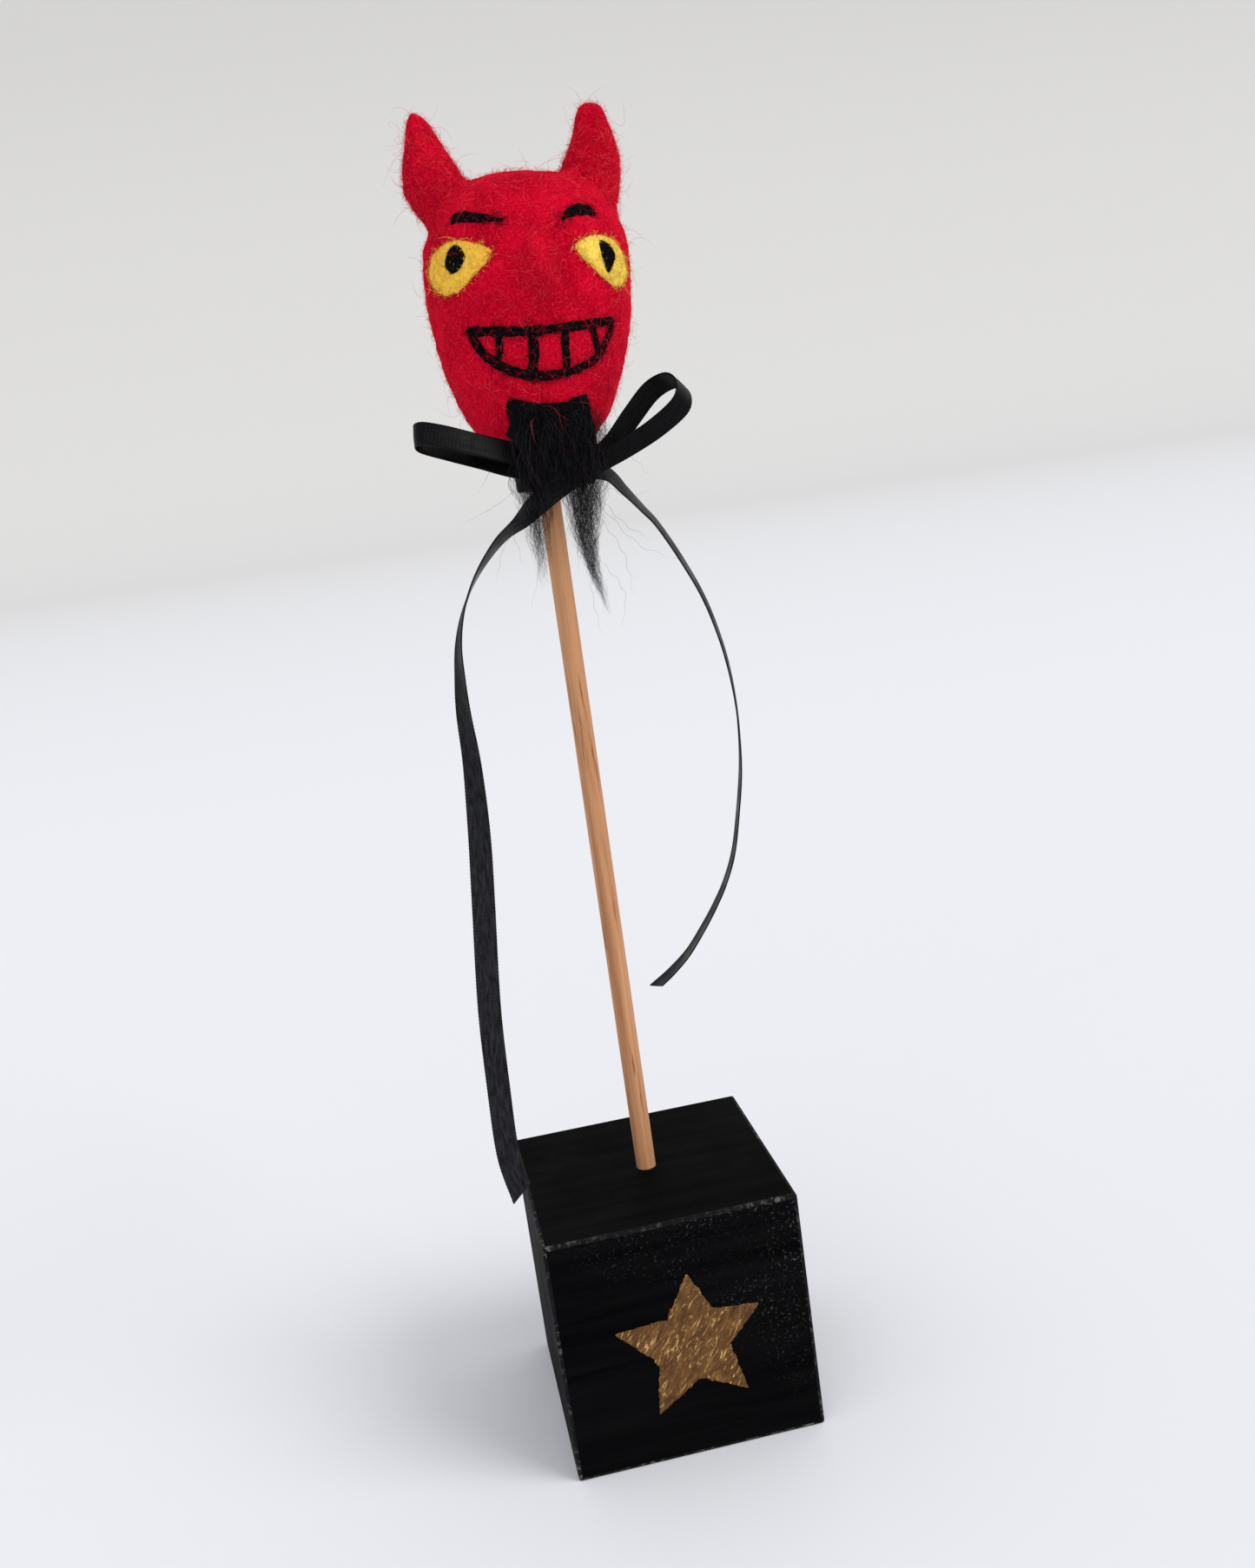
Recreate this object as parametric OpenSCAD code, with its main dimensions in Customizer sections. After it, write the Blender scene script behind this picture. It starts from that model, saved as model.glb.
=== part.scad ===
// Felted devil-head stick puppet on a painted block stand.
// Frame: the origin is the centre of the block's underside, +Z up the stick,
// -Y the side that the face and the gold star look to, +X that side's right.

/* [Block] */
// Side of the cubic block
block_w = 38; // [34:1:44]
// Width of the broken edges of the block
edge_break = 0.4; // [0.2:0.1:0.8]
// Distance from the star's centre to its points
star_r = 11.5; // [9:0.5:13]
// Direction of the star's first point, in degrees from +X
star_turn = 91; // [80:1:100]
// Thickness of the gilded star
star_t = 0.2; // [0.1:0.05:0.4]

/* [Stick] */
// Diameter of the dowel
stick_d = 3; // [2.8:0.1:3.2]
// Length of the dowel
stick_len = 152; // [140:1:160]
// Depth of the socket that holds the dowel
socket_depth = 19; // [15:1:24]
// Radial clearance between the dowel and its sockets
fit_gap = 0.05; // [0.02:0.01:0.1]

/* [Head] */
// Height of the point that the head leans about
head_z = 150; // [148:1:152]
// Lean of the head towards +X, in degrees
head_lean = 3.5; // [0:0.5:5]
// Turn of the face towards -X, in degrees
head_yaw = 3; // [0:0.5:5]
// Thickness of the dyed wool over the core
skin_t = 2.5; // [2:0.1:3]
// How far the nose stands off the face
nose_t = 1; // [0.6:0.1:1.4]
// Thickness of the eyes
eye_t = 0.5; // [0.3:0.1:0.8]
// Thickness of the black wool lines on the face
line_t = 0.4; // [0.3:0.1:0.6]
// Width of the mouth's lines
mouth_w = 1.05; // [0.8:0.05:1.4]

/* [Ribbon] */
// Width of the ribbon
ribbon_w = 3.2; // [3:0.1:3.4]
// Thickness of the ribbon
ribbon_t = 0.35; // [0.3:0.05:0.4]

/* [Hidden] */
$fn = 64;
felt_red = [0.78, 0.05, 0.12];
wool_black = [0.07, 0.07, 0.08];
bore_r = stick_d / 2 + fit_gap;
stick_z = block_w - socket_depth;
// Room under the dowel's foot and over its top
end_gap = 0.3;
head_depth = 20;
// Bottom of the felt neck, below head_z
neck_h = -7.2;
neck_r = 3.4;

// The head's outline, as radius and height over head_z
head_outline = [
  [0, 34.9], [5, 34.5], [9.5, 33], [12.6, 30], [13.9, 26], [14.1, 20.5], [13.6, 14.5],
  [12.2, 8.8], [10, 3.2], [7, -1], [4.6, -3.2], [neck_r + 0.1, -4.6], [neck_r, neck_h]
];
head_middle = [0, 18];
// Lowest point of the core, over head_z
core_h = -1.5;

// Face outlines, as distance right of the middle and height over head_z
left_eye = [
  [-4.8, 23.4], [-7.4, 25.1], [-10.5, 25.8], [-13.2, 24.4], [-13.8, 21.7], [-12.6, 19], [-10.2, 18.5], [-7.3, 20.8]
];
right_eye = [
  [5.2, 23.4], [6.6, 24.6], [8.9, 25.3], [11.4, 24.8], [13, 23], [13.3, 20.8], [12.4, 18.9], [11.1, 18.3],
  [9, 19.4], [7, 21.4]
];
left_pupil = [[-9.5, 24.8], [-8.7, 23.2], [-9.5, 21.7], [-10.6, 21.3], [-11.3, 22.6], [-10.7, 24.3]];
right_pupil = [[9, 24.3], [10.6, 23.6], [11.1, 22.2], [10, 20.1], [9.3, 21.6]];
nose_edge = [[0.7, 25.6], [-0.5, 24], [-1.5, 20.5], [-1.2, 17.8], [0.5, 16.8], [2.3, 17.8], [2.5, 20.5], [1.9, 24]];
left_brow = [[-10.4, 28.6], [-7, 28.1], [-3.5, 27.3]];
right_brow = [[4.2, 26.9], [5.6, 27.7], [7.4, 28], [9.2, 27.2]];
upper_lip = [[-9.4, 14], [-5.1, 13.5], [-1, 13.2], [4.5, 13.5], [10.6, 14.3]];
lower_lip = [[-8.9, 13.7], [-7.2, 10.8], [-4.4, 8.7], [-1.4, 7.7], [1.7, 7.6], [4.8, 8.2], [8, 9.9], [10.1, 13.8]];
// Each tooth line's upper end, lower end and width
tooth_lines = [
  [[-5.2, 13.5], [-5.6, 9.4], 0.7], [[-1, 13.3], [-1.3, 7.6], 1.25], [[3.4, 13.4], [3.2, 7.8], 1.2],
  [[7.1, 13.9], [7.3, 9.4], 1.1]
];
beard_edge = [
  [-4.8, 5.2], [-1.5, 4.3], [2.4, 4.1], [6, 5], [7, 1], [7.2, -1.8], [3, -1.9], [0, -1.2], [-5, 0.2], [-4.7, 2]
];

// The hanging beard in front of the bow, as X and height
curtain_outline = [[-5, 152], [-5.5, 148], [-5, 145], [-2, 143.6], [2.5, 143.3], [7, 143.8], [7.4, 147], [6.6, 152]];
curtain_front = 9.7;
curtain_back = 8.3;

// The ribbon: the bow's knot, the loops' middle lines and the tails' middle lines
knot_at = [5, -5.7, 145.2];
left_width_dir = [-0.1, -0.35, -0.93];
right_width_dir = [0.66, 0.37, -0.66];
left_loop = [
  [3.5, -6.4, 145.9], [0, -7, 146.8], [-5, -7.6, 148.3], [-10, -8.6, 150.1], [-14, -9, 151.6], [-16.8, -8.6, 152.4],
  [-17.8, -7.2, 152.2], [-17, -5.9, 151.4], [-13.4, -5.6, 149.9], [-9.4, -5.9, 148.3], [-4.8, -6.3, 146.4],
  [0, -6.1, 145.3], [3.5, -5.4, 144.9]
];
right_loop = [
  [5.6, -6, 145.8], [8.7, -6.9, 147.6], [12.2, -6.7, 151.2], [15.5, -7.2, 154.3], [18, -9.9, 155.2],
  [19, -12.3, 154], [18, -14, 151.6], [14.4, -11.9, 149.1], [10.6, -9.1, 147.1], [6.2, -6.6, 145.3]
];
// Each point of a tail has its X, Y and Z and the compass angle of the ribbon's width
left_tail = [
  [3.4, -6.6, 144.4, 5], [0.2, -7.4, 142.9, 8], [-2.6, -7.8, 141.2, 14], [-5.3, -8, 139.2, 30], [-8.8, -8.2, 136.9, 54],
  [-12.4, -8.4, 133, 73], [-15, -8.6, 128.6, 88], [-16.5, -9, 124, 100], [-17.1, -9.5, 119.2, 112],
  [-17.4, -10, 114.4, 124], [-17.4, -10.8, 107.2, 138], [-18, -11.8, 97.6, 160], [-19, -13, 88.2, 176],
  [-20.6, -15, 73.8, 180], [-21.2, -16, 62, 180], [-21.4, -16.8, 52.4, 180], [-20.4, -17, 46, 178]
];
right_tail = [
  [6, -5, 144.8, 30], [8.4, -4, 143.5, 50], [10.4, -3, 141.2, 59], [12.7, -2, 138.4, 65], [14.9, -1, 135.6, 68],
  [17.9, 0, 130.2, 69], [20.5, 1, 124.6, 71], [22.3, 2, 119, 72], [23.5, 3, 113.6, 73], [24.2, 4, 108, 75],
  [24.5, 5.5, 102.3, 78], [24.4, 7, 96.6, 81], [23.9, 9, 90.7, 82], [22.7, 11.2, 82.8, 83], [21.1, 13, 77.4, 83],
  [19.2, 14.5, 73.2, 84], [16.9, 16, 69.1, 86], [14.2, 17.5, 65, 88], [11.3, 19, 61.8, 93], [8.6, 20.1, 59.5, 98]
];

function unit(v) = v / norm(v);
// A smooth line through the points, with n pieces between each two
function spline(a, b, c, d, t) =
  0.5 * (2 * b + (c - a) * t + (2 * a - 5 * b + 4 * c - d) * t * t + (3 * b - a - 3 * c + d) * t * t * t);
function curve(p, n) = [
  for (i = [0:len(p) - 2], k = [0:n - 1])
    spline(p[max(i - 1, 0)], p[i], p[i + 1], p[min(i + 2, len(p) - 1)], k / n),
  p[len(p) - 1]
];
function ring(p, n) = [
  for (i = [0:len(p) - 1], k = [0:n - 1])
    spline(p[(i + len(p) - 1) % len(p)], p[i], p[(i + 1) % len(p)], p[(i + 2) % len(p)], k / n)
];
// The outline of a line of the given width through the points of a flat path
function along(p, i) = unit(p[min(i + 1, len(p) - 1)] - p[max(i - 1, 0)]);
function beside(p, i, w) = p[i] + w / 2 * [-along(p, i)[1], along(p, i)[0]];
function stroke(p, w) = concat(
  [for (i = [0:len(p) - 1]) beside(p, i, w)],
  [for (i = [len(p) - 1:-1:0]) beside(p, i, -w)]
);
// The head's outline, grown outwards by t
function grown(t) = [
  for (p = curve(head_outline, 3)) p[0] < 0.01 ? p + [0, t] : p + t * unit(p - head_middle)
];

module in_head() {
  translate([0, 0, head_z]) rotate([0, head_lean, 0]) rotate([0, 0, -head_yaw]) children();
}
module head_solid(t) {
  top = grown(t);
  low = top[len(top) - 1][1];
  rotate([0, 0, 90]) rotate_extrude() polygon(concat(top, [[0, low]]));
}
module core_solid() {
  inside = [for (p = grown(-skin_t)) if (p[1] > core_h) p];
  low = inside[len(inside) - 1][1];
  rotate([0, 0, 90]) rotate_extrude() polygon(concat(inside, [[0, low]]));
}
module stick_bore() {
  low = head_z - head_depth;
  translate([0, 0, low]) cylinder(h = stick_z + stick_len + end_gap - low, r = bore_r);
}
// A layer on the face from height a to b over the felt, cut to the flat shape given as a child
module on_face(a, b) {
  intersection() {
    difference() {
      head_solid(b);
      head_solid(a);
    }
    rotate([90, 0, 0]) linear_extrude(head_depth) children();
  }
}
// A ribbon along the points p, whose width lies along the directions w
module ribbon(p, w) {
  n = len(p);
  rows = [
    for (i = [0:n - 1])
      let (
        d = unit(p[min(i + 1, n - 1)] - p[max(i - 1, 0)]),
        side = unit(w[i] - d * (w[i] * d)) * ribbon_w / 2,
        face = unit(cross(d, side)) * ribbon_t / 2
      ) each [p[i] + side + face, p[i] - side + face, p[i] - side - face, p[i] + side - face]
  ];
  sides = [
    for (i = [0:n - 2], k = [0:3])
      let (a = 4 * i + k, b = 4 * i + (k + 1) % 4) each [[a, b, b + 4], [a, b + 4, a + 4]]
  ];
  last = 4 * n - 4;
  ends = [[3, 2, 1], [3, 1, 0], [last, last + 1, last + 2], [last, last + 2, last + 3]];
  polyhedron(rows, concat(sides, ends), convexity = 6);
}
module loop(p, w) {
  line = curve(p, 4);
  ribbon(line, [for (q = line) w]);
}
module tail(p) {
  line = curve(p, 4);
  ribbon([for (q = line) [q[0], q[1], q[2]]], [for (q = line) [cos(q[3]), sin(q[3]), 0]]);
}
module knot_solid() {
  side = [[0, -2.5], [1.4, -2.3], [1.9, -1.4], [2.1, 0], [1.9, 1.4], [1.4, 2.3], [0, 2.5]];
  translate(knot_at) rotate([0, 65, -15]) rotate_extrude() polygon(curve(side, 2));
}
module broken_square() {
  a = block_w / 2;
  b = a - edge_break;
  polygon([[a, b], [b, a], [-b, a], [-a, b], [-a, -b], [-b, -a], [b, -a], [a, -b]]);
}

module block() {
  color([0.09, 0.09, 0.1]) difference() {
    translate([0, 0, block_w / 2]) intersection() {
      linear_extrude(block_w, center = true) broken_square();
      rotate([90, 0, 0]) linear_extrude(block_w, center = true) broken_square();
      rotate([0, 90, 0]) linear_extrude(block_w, center = true) broken_square();
    }
    translate([0, 0, stick_z - end_gap]) cylinder(h = block_w, r = bore_r);
  }
}
module gold_star() {
  points = [
    for (i = [0:4])
      let (a = star_turn + 72 * i) each [star_r * [cos(a), sin(a)], 0.48 * star_r * [cos(a + 36), sin(a + 36)]]
  ];
  color([0.62, 0.46, 0.2]) translate([0, -block_w / 2, block_w / 2]) rotate([90, 0, 0]) linear_extrude(star_t)
    polygon(points);
}
module stick() {
  color([0.77, 0.57, 0.38]) translate([0, 0, stick_z]) cylinder(h = stick_len, r = stick_d / 2);
}
module head_core() {
  color([0.93, 0.9, 0.83]) difference() {
    in_head() core_solid();
    stick_bore();
  }
}
module head_skin() {
  color(felt_red) difference() {
    in_head() difference() {
      head_solid(0);
      core_solid();
    }
    stick_bore();
  }
}
// A felt horn with its foot at x over head_z, leaning by tilt, with a tip of the given radius
module horn(x, tilt, tip) {
  side = [[tip * 0.55, 12.2], [tip, 11.4], [2.4, 8.4], [3.9, 4.6], [4.5, 1.5], [3.9, -1.2]];
  color(felt_red) in_head() difference() {
    translate([x, 0, 31]) rotate([0, tilt, 0]) rotate_extrude()
      polygon(concat([[0, 12.4]], curve(side, 3), [[0, -4]]));
    head_solid(0);
  }
}
module horn_left() {
  horn(-11.2, -11, 1.1);
}
module horn_right() {
  horn(9.7, 3, 1.6);
}
module nose() {
  color(felt_red) in_head() on_face(0, nose_t) polygon(ring(nose_edge, 3));
}
module eye_left() {
  color([0.88, 0.68, 0.2]) in_head() on_face(0, eye_t) polygon(ring(left_eye, 3));
}
module eye_right() {
  color([0.93, 0.84, 0.2]) in_head() on_face(0, eye_t) polygon(ring(right_eye, 3));
}
module pupil_left() {
  color(wool_black) in_head() on_face(eye_t, eye_t + line_t) polygon(ring(left_pupil, 3));
}
module pupil_right() {
  color(wool_black) in_head() on_face(eye_t, eye_t + line_t) polygon(ring(right_pupil, 3));
}
module brow_left() {
  color(wool_black) in_head() on_face(0, line_t) polygon(stroke(curve(left_brow, 3), 1.3));
}
module brow_right() {
  color(wool_black) in_head() on_face(0, line_t) polygon(stroke(curve(right_brow, 3), 1.3));
}
module mouth_upper() {
  color(wool_black) in_head() on_face(0, line_t) polygon(stroke(curve(upper_lip, 2), mouth_w));
}
module mouth_lower() {
  color(wool_black) in_head() on_face(0, line_t) difference() {
    polygon(stroke(curve(lower_lip, 2), mouth_w));
    polygon(stroke(curve(upper_lip, 2), mouth_w));
  }
}
module tooth_line(i) {
  line = tooth_lines[i];
  color(wool_black) in_head() on_face(0, line_t) difference() {
    polygon(stroke([line[0], line[1]], line[2]));
    polygon(stroke(curve(upper_lip, 2), mouth_w));
    polygon(stroke(curve(lower_lip, 2), mouth_w));
  }
}
module tooth_line_1() {
  tooth_line(0);
}
module tooth_line_2() {
  tooth_line(1);
}
module tooth_line_3() {
  tooth_line(2);
}
module tooth_line_4() {
  tooth_line(3);
}
module beard_patch() {
  color(wool_black) in_head() on_face(0, 0.9) polygon(beard_edge);
}
module beard_curtain() {
  color(wool_black) difference() {
    translate([0, -curtain_back, 0]) rotate([90, 0, 0]) linear_extrude(curtain_front - curtain_back)
      polygon(ring(curtain_outline, 3));
    in_head() head_solid(0.9);
  }
}
// A lock of beard wool that starts at foot, hangs by len and leans by tilt towards +X and by back towards +Y
module lock(foot, len, r, tilt, back) {
  side = [[r * 0.6, 0], [r, -len * 0.15], [r * 0.85, -len * 0.4], [r * 0.4, -len * 0.75], [0.2, -len]];
  color(wool_black) difference() {
    translate(foot) rotate([back, -tilt, 0]) rotate_extrude() polygon(concat([[0, 0]], curve(side, 3), [[0, -len]]));
    knot_solid();
    neck_band();
  }
}
module beard_lock_left() {
  lock([-3.4, -5.2, 142.9], 11.5, 1.3, -3, 8);
}
module beard_lock_right() {
  lock([4.6, -5.2, 142.6], 17, 1.9, 2, 4);
}
module neck_band() {
  in_head() translate([0, 0, neck_h]) cylinder(h = ribbon_w, r = neck_r + 2 * ribbon_t);
}
module neck_wrap() {
  color(wool_black) difference() {
    neck_band();
    in_head() head_solid(0);
    stick_bore();
    knot_solid();
  }
}
module bow_knot() {
  color(wool_black) difference() {
    knot_solid();
    in_head() head_solid(0);
  }
}
module bow_loop_left() {
  color(wool_black) difference() {
    loop(left_loop, left_width_dir);
    knot_solid();
  }
}
module bow_loop_right() {
  color(wool_black) difference() {
    loop(right_loop, right_width_dir);
    knot_solid();
  }
}
module ribbon_tail_left() {
  color(wool_black) tail(left_tail);
}
module ribbon_tail_right() {
  color(wool_black) tail(right_tail);
}

block();
gold_star();
stick();
head_core();
head_skin();
horn_left();
horn_right();
nose();
eye_left();
eye_right();
pupil_left();
pupil_right();
brow_left();
brow_right();
mouth_upper();
mouth_lower();
tooth_line_1();
tooth_line_2();
tooth_line_3();
tooth_line_4();
beard_patch();
beard_curtain();
beard_lock_left();
beard_lock_right();
neck_wrap();
bow_knot();
bow_loop_left();
bow_loop_right();
ribbon_tail_left();
ribbon_tail_right();
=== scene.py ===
"""The looks of the felted stick puppet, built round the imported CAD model."""

import math

import bmesh
import bpy
import numpy as np
from mathutils import Matrix, Vector, noise
from mathutils.bvhtree import BVHTree


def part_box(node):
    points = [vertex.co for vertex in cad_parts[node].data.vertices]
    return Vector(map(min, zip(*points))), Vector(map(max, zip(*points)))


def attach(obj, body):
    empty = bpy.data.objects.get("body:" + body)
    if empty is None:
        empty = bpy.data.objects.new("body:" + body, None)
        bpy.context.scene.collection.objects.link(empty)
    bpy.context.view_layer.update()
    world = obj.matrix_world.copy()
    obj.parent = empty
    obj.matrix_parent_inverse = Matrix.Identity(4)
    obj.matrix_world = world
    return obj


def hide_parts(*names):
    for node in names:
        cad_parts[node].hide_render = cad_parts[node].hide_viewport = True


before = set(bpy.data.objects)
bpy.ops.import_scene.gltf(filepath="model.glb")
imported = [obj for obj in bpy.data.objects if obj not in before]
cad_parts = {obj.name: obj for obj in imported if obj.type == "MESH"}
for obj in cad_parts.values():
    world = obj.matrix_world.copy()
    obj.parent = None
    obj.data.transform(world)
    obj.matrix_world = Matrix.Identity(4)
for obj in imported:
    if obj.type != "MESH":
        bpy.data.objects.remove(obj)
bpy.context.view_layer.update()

# Everything below is worked out in millimetres and turned into metres where a mesh is made.
MM = 0.001
STAND, DOWEL, PUPPET = "stand", "dowel", "puppet"
# The head leans and turns about this point on the stick, as in the CAD model.
HEAD = Matrix.Translation((0, 0, 150)) @ Matrix.Rotation(math.radians(3.5), 4, "Y") @ Matrix.Rotation(
    math.radians(-3), 4, "Z"
)
HEAD_TURN = np.array(HEAD.to_3x3())
HEAD_AT = np.array(HEAD.to_translation())


# ---------------------------------------------------------------- lines and meshes


def unit(v):
    return v / np.maximum(np.linalg.norm(v, axis=-1, keepdims=True), 1e-12)


def smooth(points, n, closed=False):
    """A Catmull-Rom line through the points, with n pieces between each two."""
    p = np.array(points, float)
    count = len(p)
    spans = count if closed else count - 1
    out = []
    for i in range(spans):
        pick = [(i + k) % count if closed else min(max(i + k, 0), count - 1) for k in (-1, 0, 1, 2)]
        a, b, c, d = p[pick]
        t = (np.arange(n) / n)[:, None]
        out.append(
            0.5 * (2 * b + (c - a) * t + (2 * a - 5 * b + 4 * c - d) * t**2 + (3 * b - a - 3 * c + d) * t**3)
        )
    return np.concatenate(out + ([] if closed else [p[-1:]]))


def travelled(line):
    """How far along a line each of its points is."""
    return np.concatenate([[0], np.cumsum(np.linalg.norm(np.diff(line, axis=0), axis=1))])


def spaced(line, n):
    """n points evenly along a line, with all its columns."""
    along = travelled(line[:, :3])
    at = np.linspace(0, along[-1], n)
    return np.stack([np.interp(at, along, line[:, k]) for k in range(line.shape[1])], axis=1)


def length_of(line):
    return float(np.linalg.norm(np.diff(line, axis=0), axis=1).sum())


def tangents(line):
    return unit(np.gradient(line, axis=0))


def rough(points, size, seed):
    """Smooth noise from -1 to 1 at each point, with lumps of about the given size."""
    shift = Vector((seed * 7.3, seed * 3.1, seed * 5.7))
    return np.array([noise.noise(Vector(p) / size + shift) for p in points])


def around(n):
    """n angles evenly round a circle."""
    return np.arange(n) * 2 * math.pi / n


def values(items, name, columns=3, kind=float):
    """One property of all of a mesh's vertices, edges, corners or faces, in rows."""
    out = np.zeros(len(items) * columns, kind)
    items.foreach_get(name, out)
    return out.reshape(-1, columns)


def linked(name, data):
    obj = bpy.data.objects.new(name, data)
    bpy.context.scene.collection.objects.link(obj)
    return obj


def mesh_of(name, points, faces):
    """A mesh from points in millimetres."""
    mesh = bpy.data.meshes.new(name)
    mesh.from_pydata((np.asarray(points) * MM).tolist(), [], faces)
    return mesh


def temporary(bm, name):
    """An object to put modifiers on, made from a bmesh that is then freed."""
    mesh = bpy.data.meshes.new(name)
    bm.to_mesh(mesh)
    bm.free()
    return linked(name, mesh)


def modified(obj):
    """A new mesh, as an object's modifiers leave it."""
    return bpy.data.meshes.new_from_object(obj.evaluated_get(bpy.context.evaluated_depsgraph_get()))


def new_piece(name, points, faces, materials, body, smooth_faces=True):
    """A mesh object that rides on a body in place of the CAD node of the same name."""
    mesh = mesh_of(name, points, faces)
    mesh.polygons.foreach_set("use_smooth", [smooth_faces] * len(mesh.polygons))
    for m in materials:
        mesh.materials.append(m)
    obj = linked("visual_" + name, mesh)
    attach(obj, body)
    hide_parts(name)
    return obj


def tube_faces(rings, sides):
    """The faces of a closed tube whose ring points follow each other."""
    faces = [
        (i * sides + k, i * sides + (k + 1) % sides, (i + 1) * sides + (k + 1) % sides, (i + 1) * sides + k)
        for i in range(rings - 1)
        for k in range(sides)
    ]
    last = (rings - 1) * sides
    return [*faces, tuple(reversed(range(sides))), tuple(range(last, last + sides))]


def tree_of(mesh):
    """A search tree over a mesh's faces, in millimetres."""
    points = values(mesh.vertices, "co") / MM
    return BVHTree.FromPolygons(points.tolist(), [tuple(f.vertices) for f in mesh.polygons])


class Parts:
    """The points and faces of one piece, put together from several shapes and shades."""

    def __init__(self):
        self.points, self.faces, self.shades, self.count = [], [], [], 0

    def add(self, points, faces):
        self.points.append(np.asarray(points, float))
        self.faces += [tuple(self.count + v for v in f) for f in faces]
        self.shades += [0] * len(faces)
        self.count += len(points)

    def add_hairs(self, lines, radius, rng, shades):
        """Closed three-sided hairs along lines, an array of hairs, points and coordinates."""
        hairs, n, _ = lines.shape
        d = unit(np.gradient(lines, axis=1))
        u = unit(np.cross(d, unit(rng.normal(size=(hairs, 1, 3)))))
        v = np.cross(d, u)
        taper = np.interp(np.linspace(0, 1, n), (0, 0.15, 0.7, 1), (0.5, 1, 0.85, 0.2))
        r = np.broadcast_to(radius, hairs)[:, None, None] * taper[None, :, None]
        thirds = (0, 2 * math.pi / 3, 4 * math.pi / 3)
        corners = [lines + r * (math.cos(a) * u + math.sin(a) * v) for a in thirds]
        points = np.stack(corners, axis=2).reshape(-1, 3)
        i = np.arange(n - 1)[:, None] * 3
        k = np.arange(3)[None, :]
        one = np.stack([i + k, i + (k + 1) % 3, i + 3 + (k + 1) % 3, i + 3 + k], axis=2).reshape(-1, 4)
        start = self.count + np.arange(hairs)[:, None, None] * 3 * n
        self.faces += [tuple(f) for f in (start + one[None]).reshape(-1, 4).tolist()]
        caps = np.array([[2, 1, 0], [3 * n - 3, 3 * n - 2, 3 * n - 1]])
        self.faces += [tuple(f) for f in (start + caps[None]).reshape(-1, 3).tolist()]
        pick = rng.choice(shades, hairs)
        self.shades += np.repeat(pick, len(one)).tolist() + np.repeat(pick, 2).tolist()
        self.points.append(points)
        self.count += len(points)

    def make(self, name, materials, slot):
        obj = new_piece(name, np.concatenate(self.points), self.faces, materials, PUPPET)
        obj.data.polygons.foreach_set("material_index", self.shades)
        return obj


# ---------------------------------------------------------------- materials


class Shader:
    """A new material's Principled shader, with short ways to link patterns to it."""

    def __init__(self, name, colour, **sockets):
        self.material = bpy.data.materials.new(name)
        self.material.use_nodes = True
        self.tree = self.material.node_tree
        self.bsdf = self.tree.nodes["Principled BSDF"]
        self.material.diffuse_color = (*colour, 1)
        self.set(self.bsdf, "Base Color", (*colour, 1))
        for socket, value in sockets.items():
            self.set(self.bsdf, socket.replace("_", " ").title().replace("Ior", "IOR"), value)
        self.bump_from = None

    def set(self, node, socket, value):
        node.inputs[socket].default_value = value

    def node(self, kind, **values):
        n = self.tree.nodes.new(kind)
        for key, value in values.items():
            setattr(n, key, value)
        return n

    def link(self, a, b):
        self.tree.links.new(a, b)

    def place(self, scale=(1, 1, 1), kind="Object", turn=0):
        """The piece's own coordinates, stretched, and turned about Y by so many degrees first."""
        coords = self.node("ShaderNodeTexCoord")
        mapping = self.node("ShaderNodeMapping", vector_type="TEXTURE")
        self.set(mapping, "Rotation", (0, math.radians(turn), 0))
        self.set(mapping, "Scale", tuple(1 / v for v in scale))
        self.link(coords.outputs[kind], mapping.inputs["Vector"])
        return mapping.outputs["Vector"]

    def axes(self):
        """The piece's own X, Y and Z, each by itself."""
        n = self.node("ShaderNodeSeparateXYZ")
        self.link(self.place(), n.inputs["Vector"])
        return tuple(n.outputs)

    def span(self, value, low, high):
        """How far a value has come from low to high, within 0 and 1."""
        n = self.node("ShaderNodeMapRange")
        self.set(n, "From Min", low)
        self.set(n, "From Max", high)
        self.link(value, n.inputs["Value"])
        return n.outputs["Result"]

    def noise(self, scale, detail, roughness=0.55, distortion=0, stretch=(1, 1, 1), kind="Object", turn=0):
        n = self.node("ShaderNodeTexNoise")
        sockets = {"Scale": scale, "Detail": detail, "Roughness": roughness, "Distortion": distortion}
        for socket, value in sockets.items():
            self.set(n, socket, value)
        self.link(self.place(stretch, kind, turn), n.inputs["Vector"])
        return n.outputs["Fac"]

    def ramp(self, value, stops):
        """A colour or grey for each stop, (place, colour or level)."""
        n = self.node("ShaderNodeValToRGB")
        while len(n.color_ramp.elements) < len(stops):
            n.color_ramp.elements.new(0.5)
        for element, (at, colour) in zip(n.color_ramp.elements, stops, strict=True):
            element.position = at
            element.color = (*colour, 1) if isinstance(colour, tuple) else (colour, colour, colour, 1)
        self.link(value, n.inputs["Fac"])
        return n.outputs["Color"]

    def mix(self, factor, a, b, blend="MIX"):
        n = self.node("ShaderNodeMix", data_type="RGBA", blend_type=blend)
        for socket, value in ((0, factor), (6, a), (7, b)):
            if isinstance(value, bpy.types.NodeSocket):
                self.link(value, n.inputs[socket])
            else:
                n.inputs[socket].default_value = value if socket == 0 else (*value, 1)
        return n.outputs[2]

    def colour(self, output):
        self.link(output, self.bsdf.inputs["Base Color"])

    def roughness(self, output):
        self.link(output, self.bsdf.inputs["Roughness"])

    def bump(self, height, strength, distance):
        """Adds a height pattern, in metres of distance, to the surface."""
        n = self.node("ShaderNodeBump")
        self.set(n, "Strength", strength)
        self.set(n, "Distance", distance)
        self.link(height, n.inputs["Height"])
        if self.bump_from:
            self.link(self.bump_from, n.inputs["Normal"])
        self.bump_from = n.outputs["Normal"]
        self.link(self.bump_from, self.bsdf.inputs["Normal"])


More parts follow.
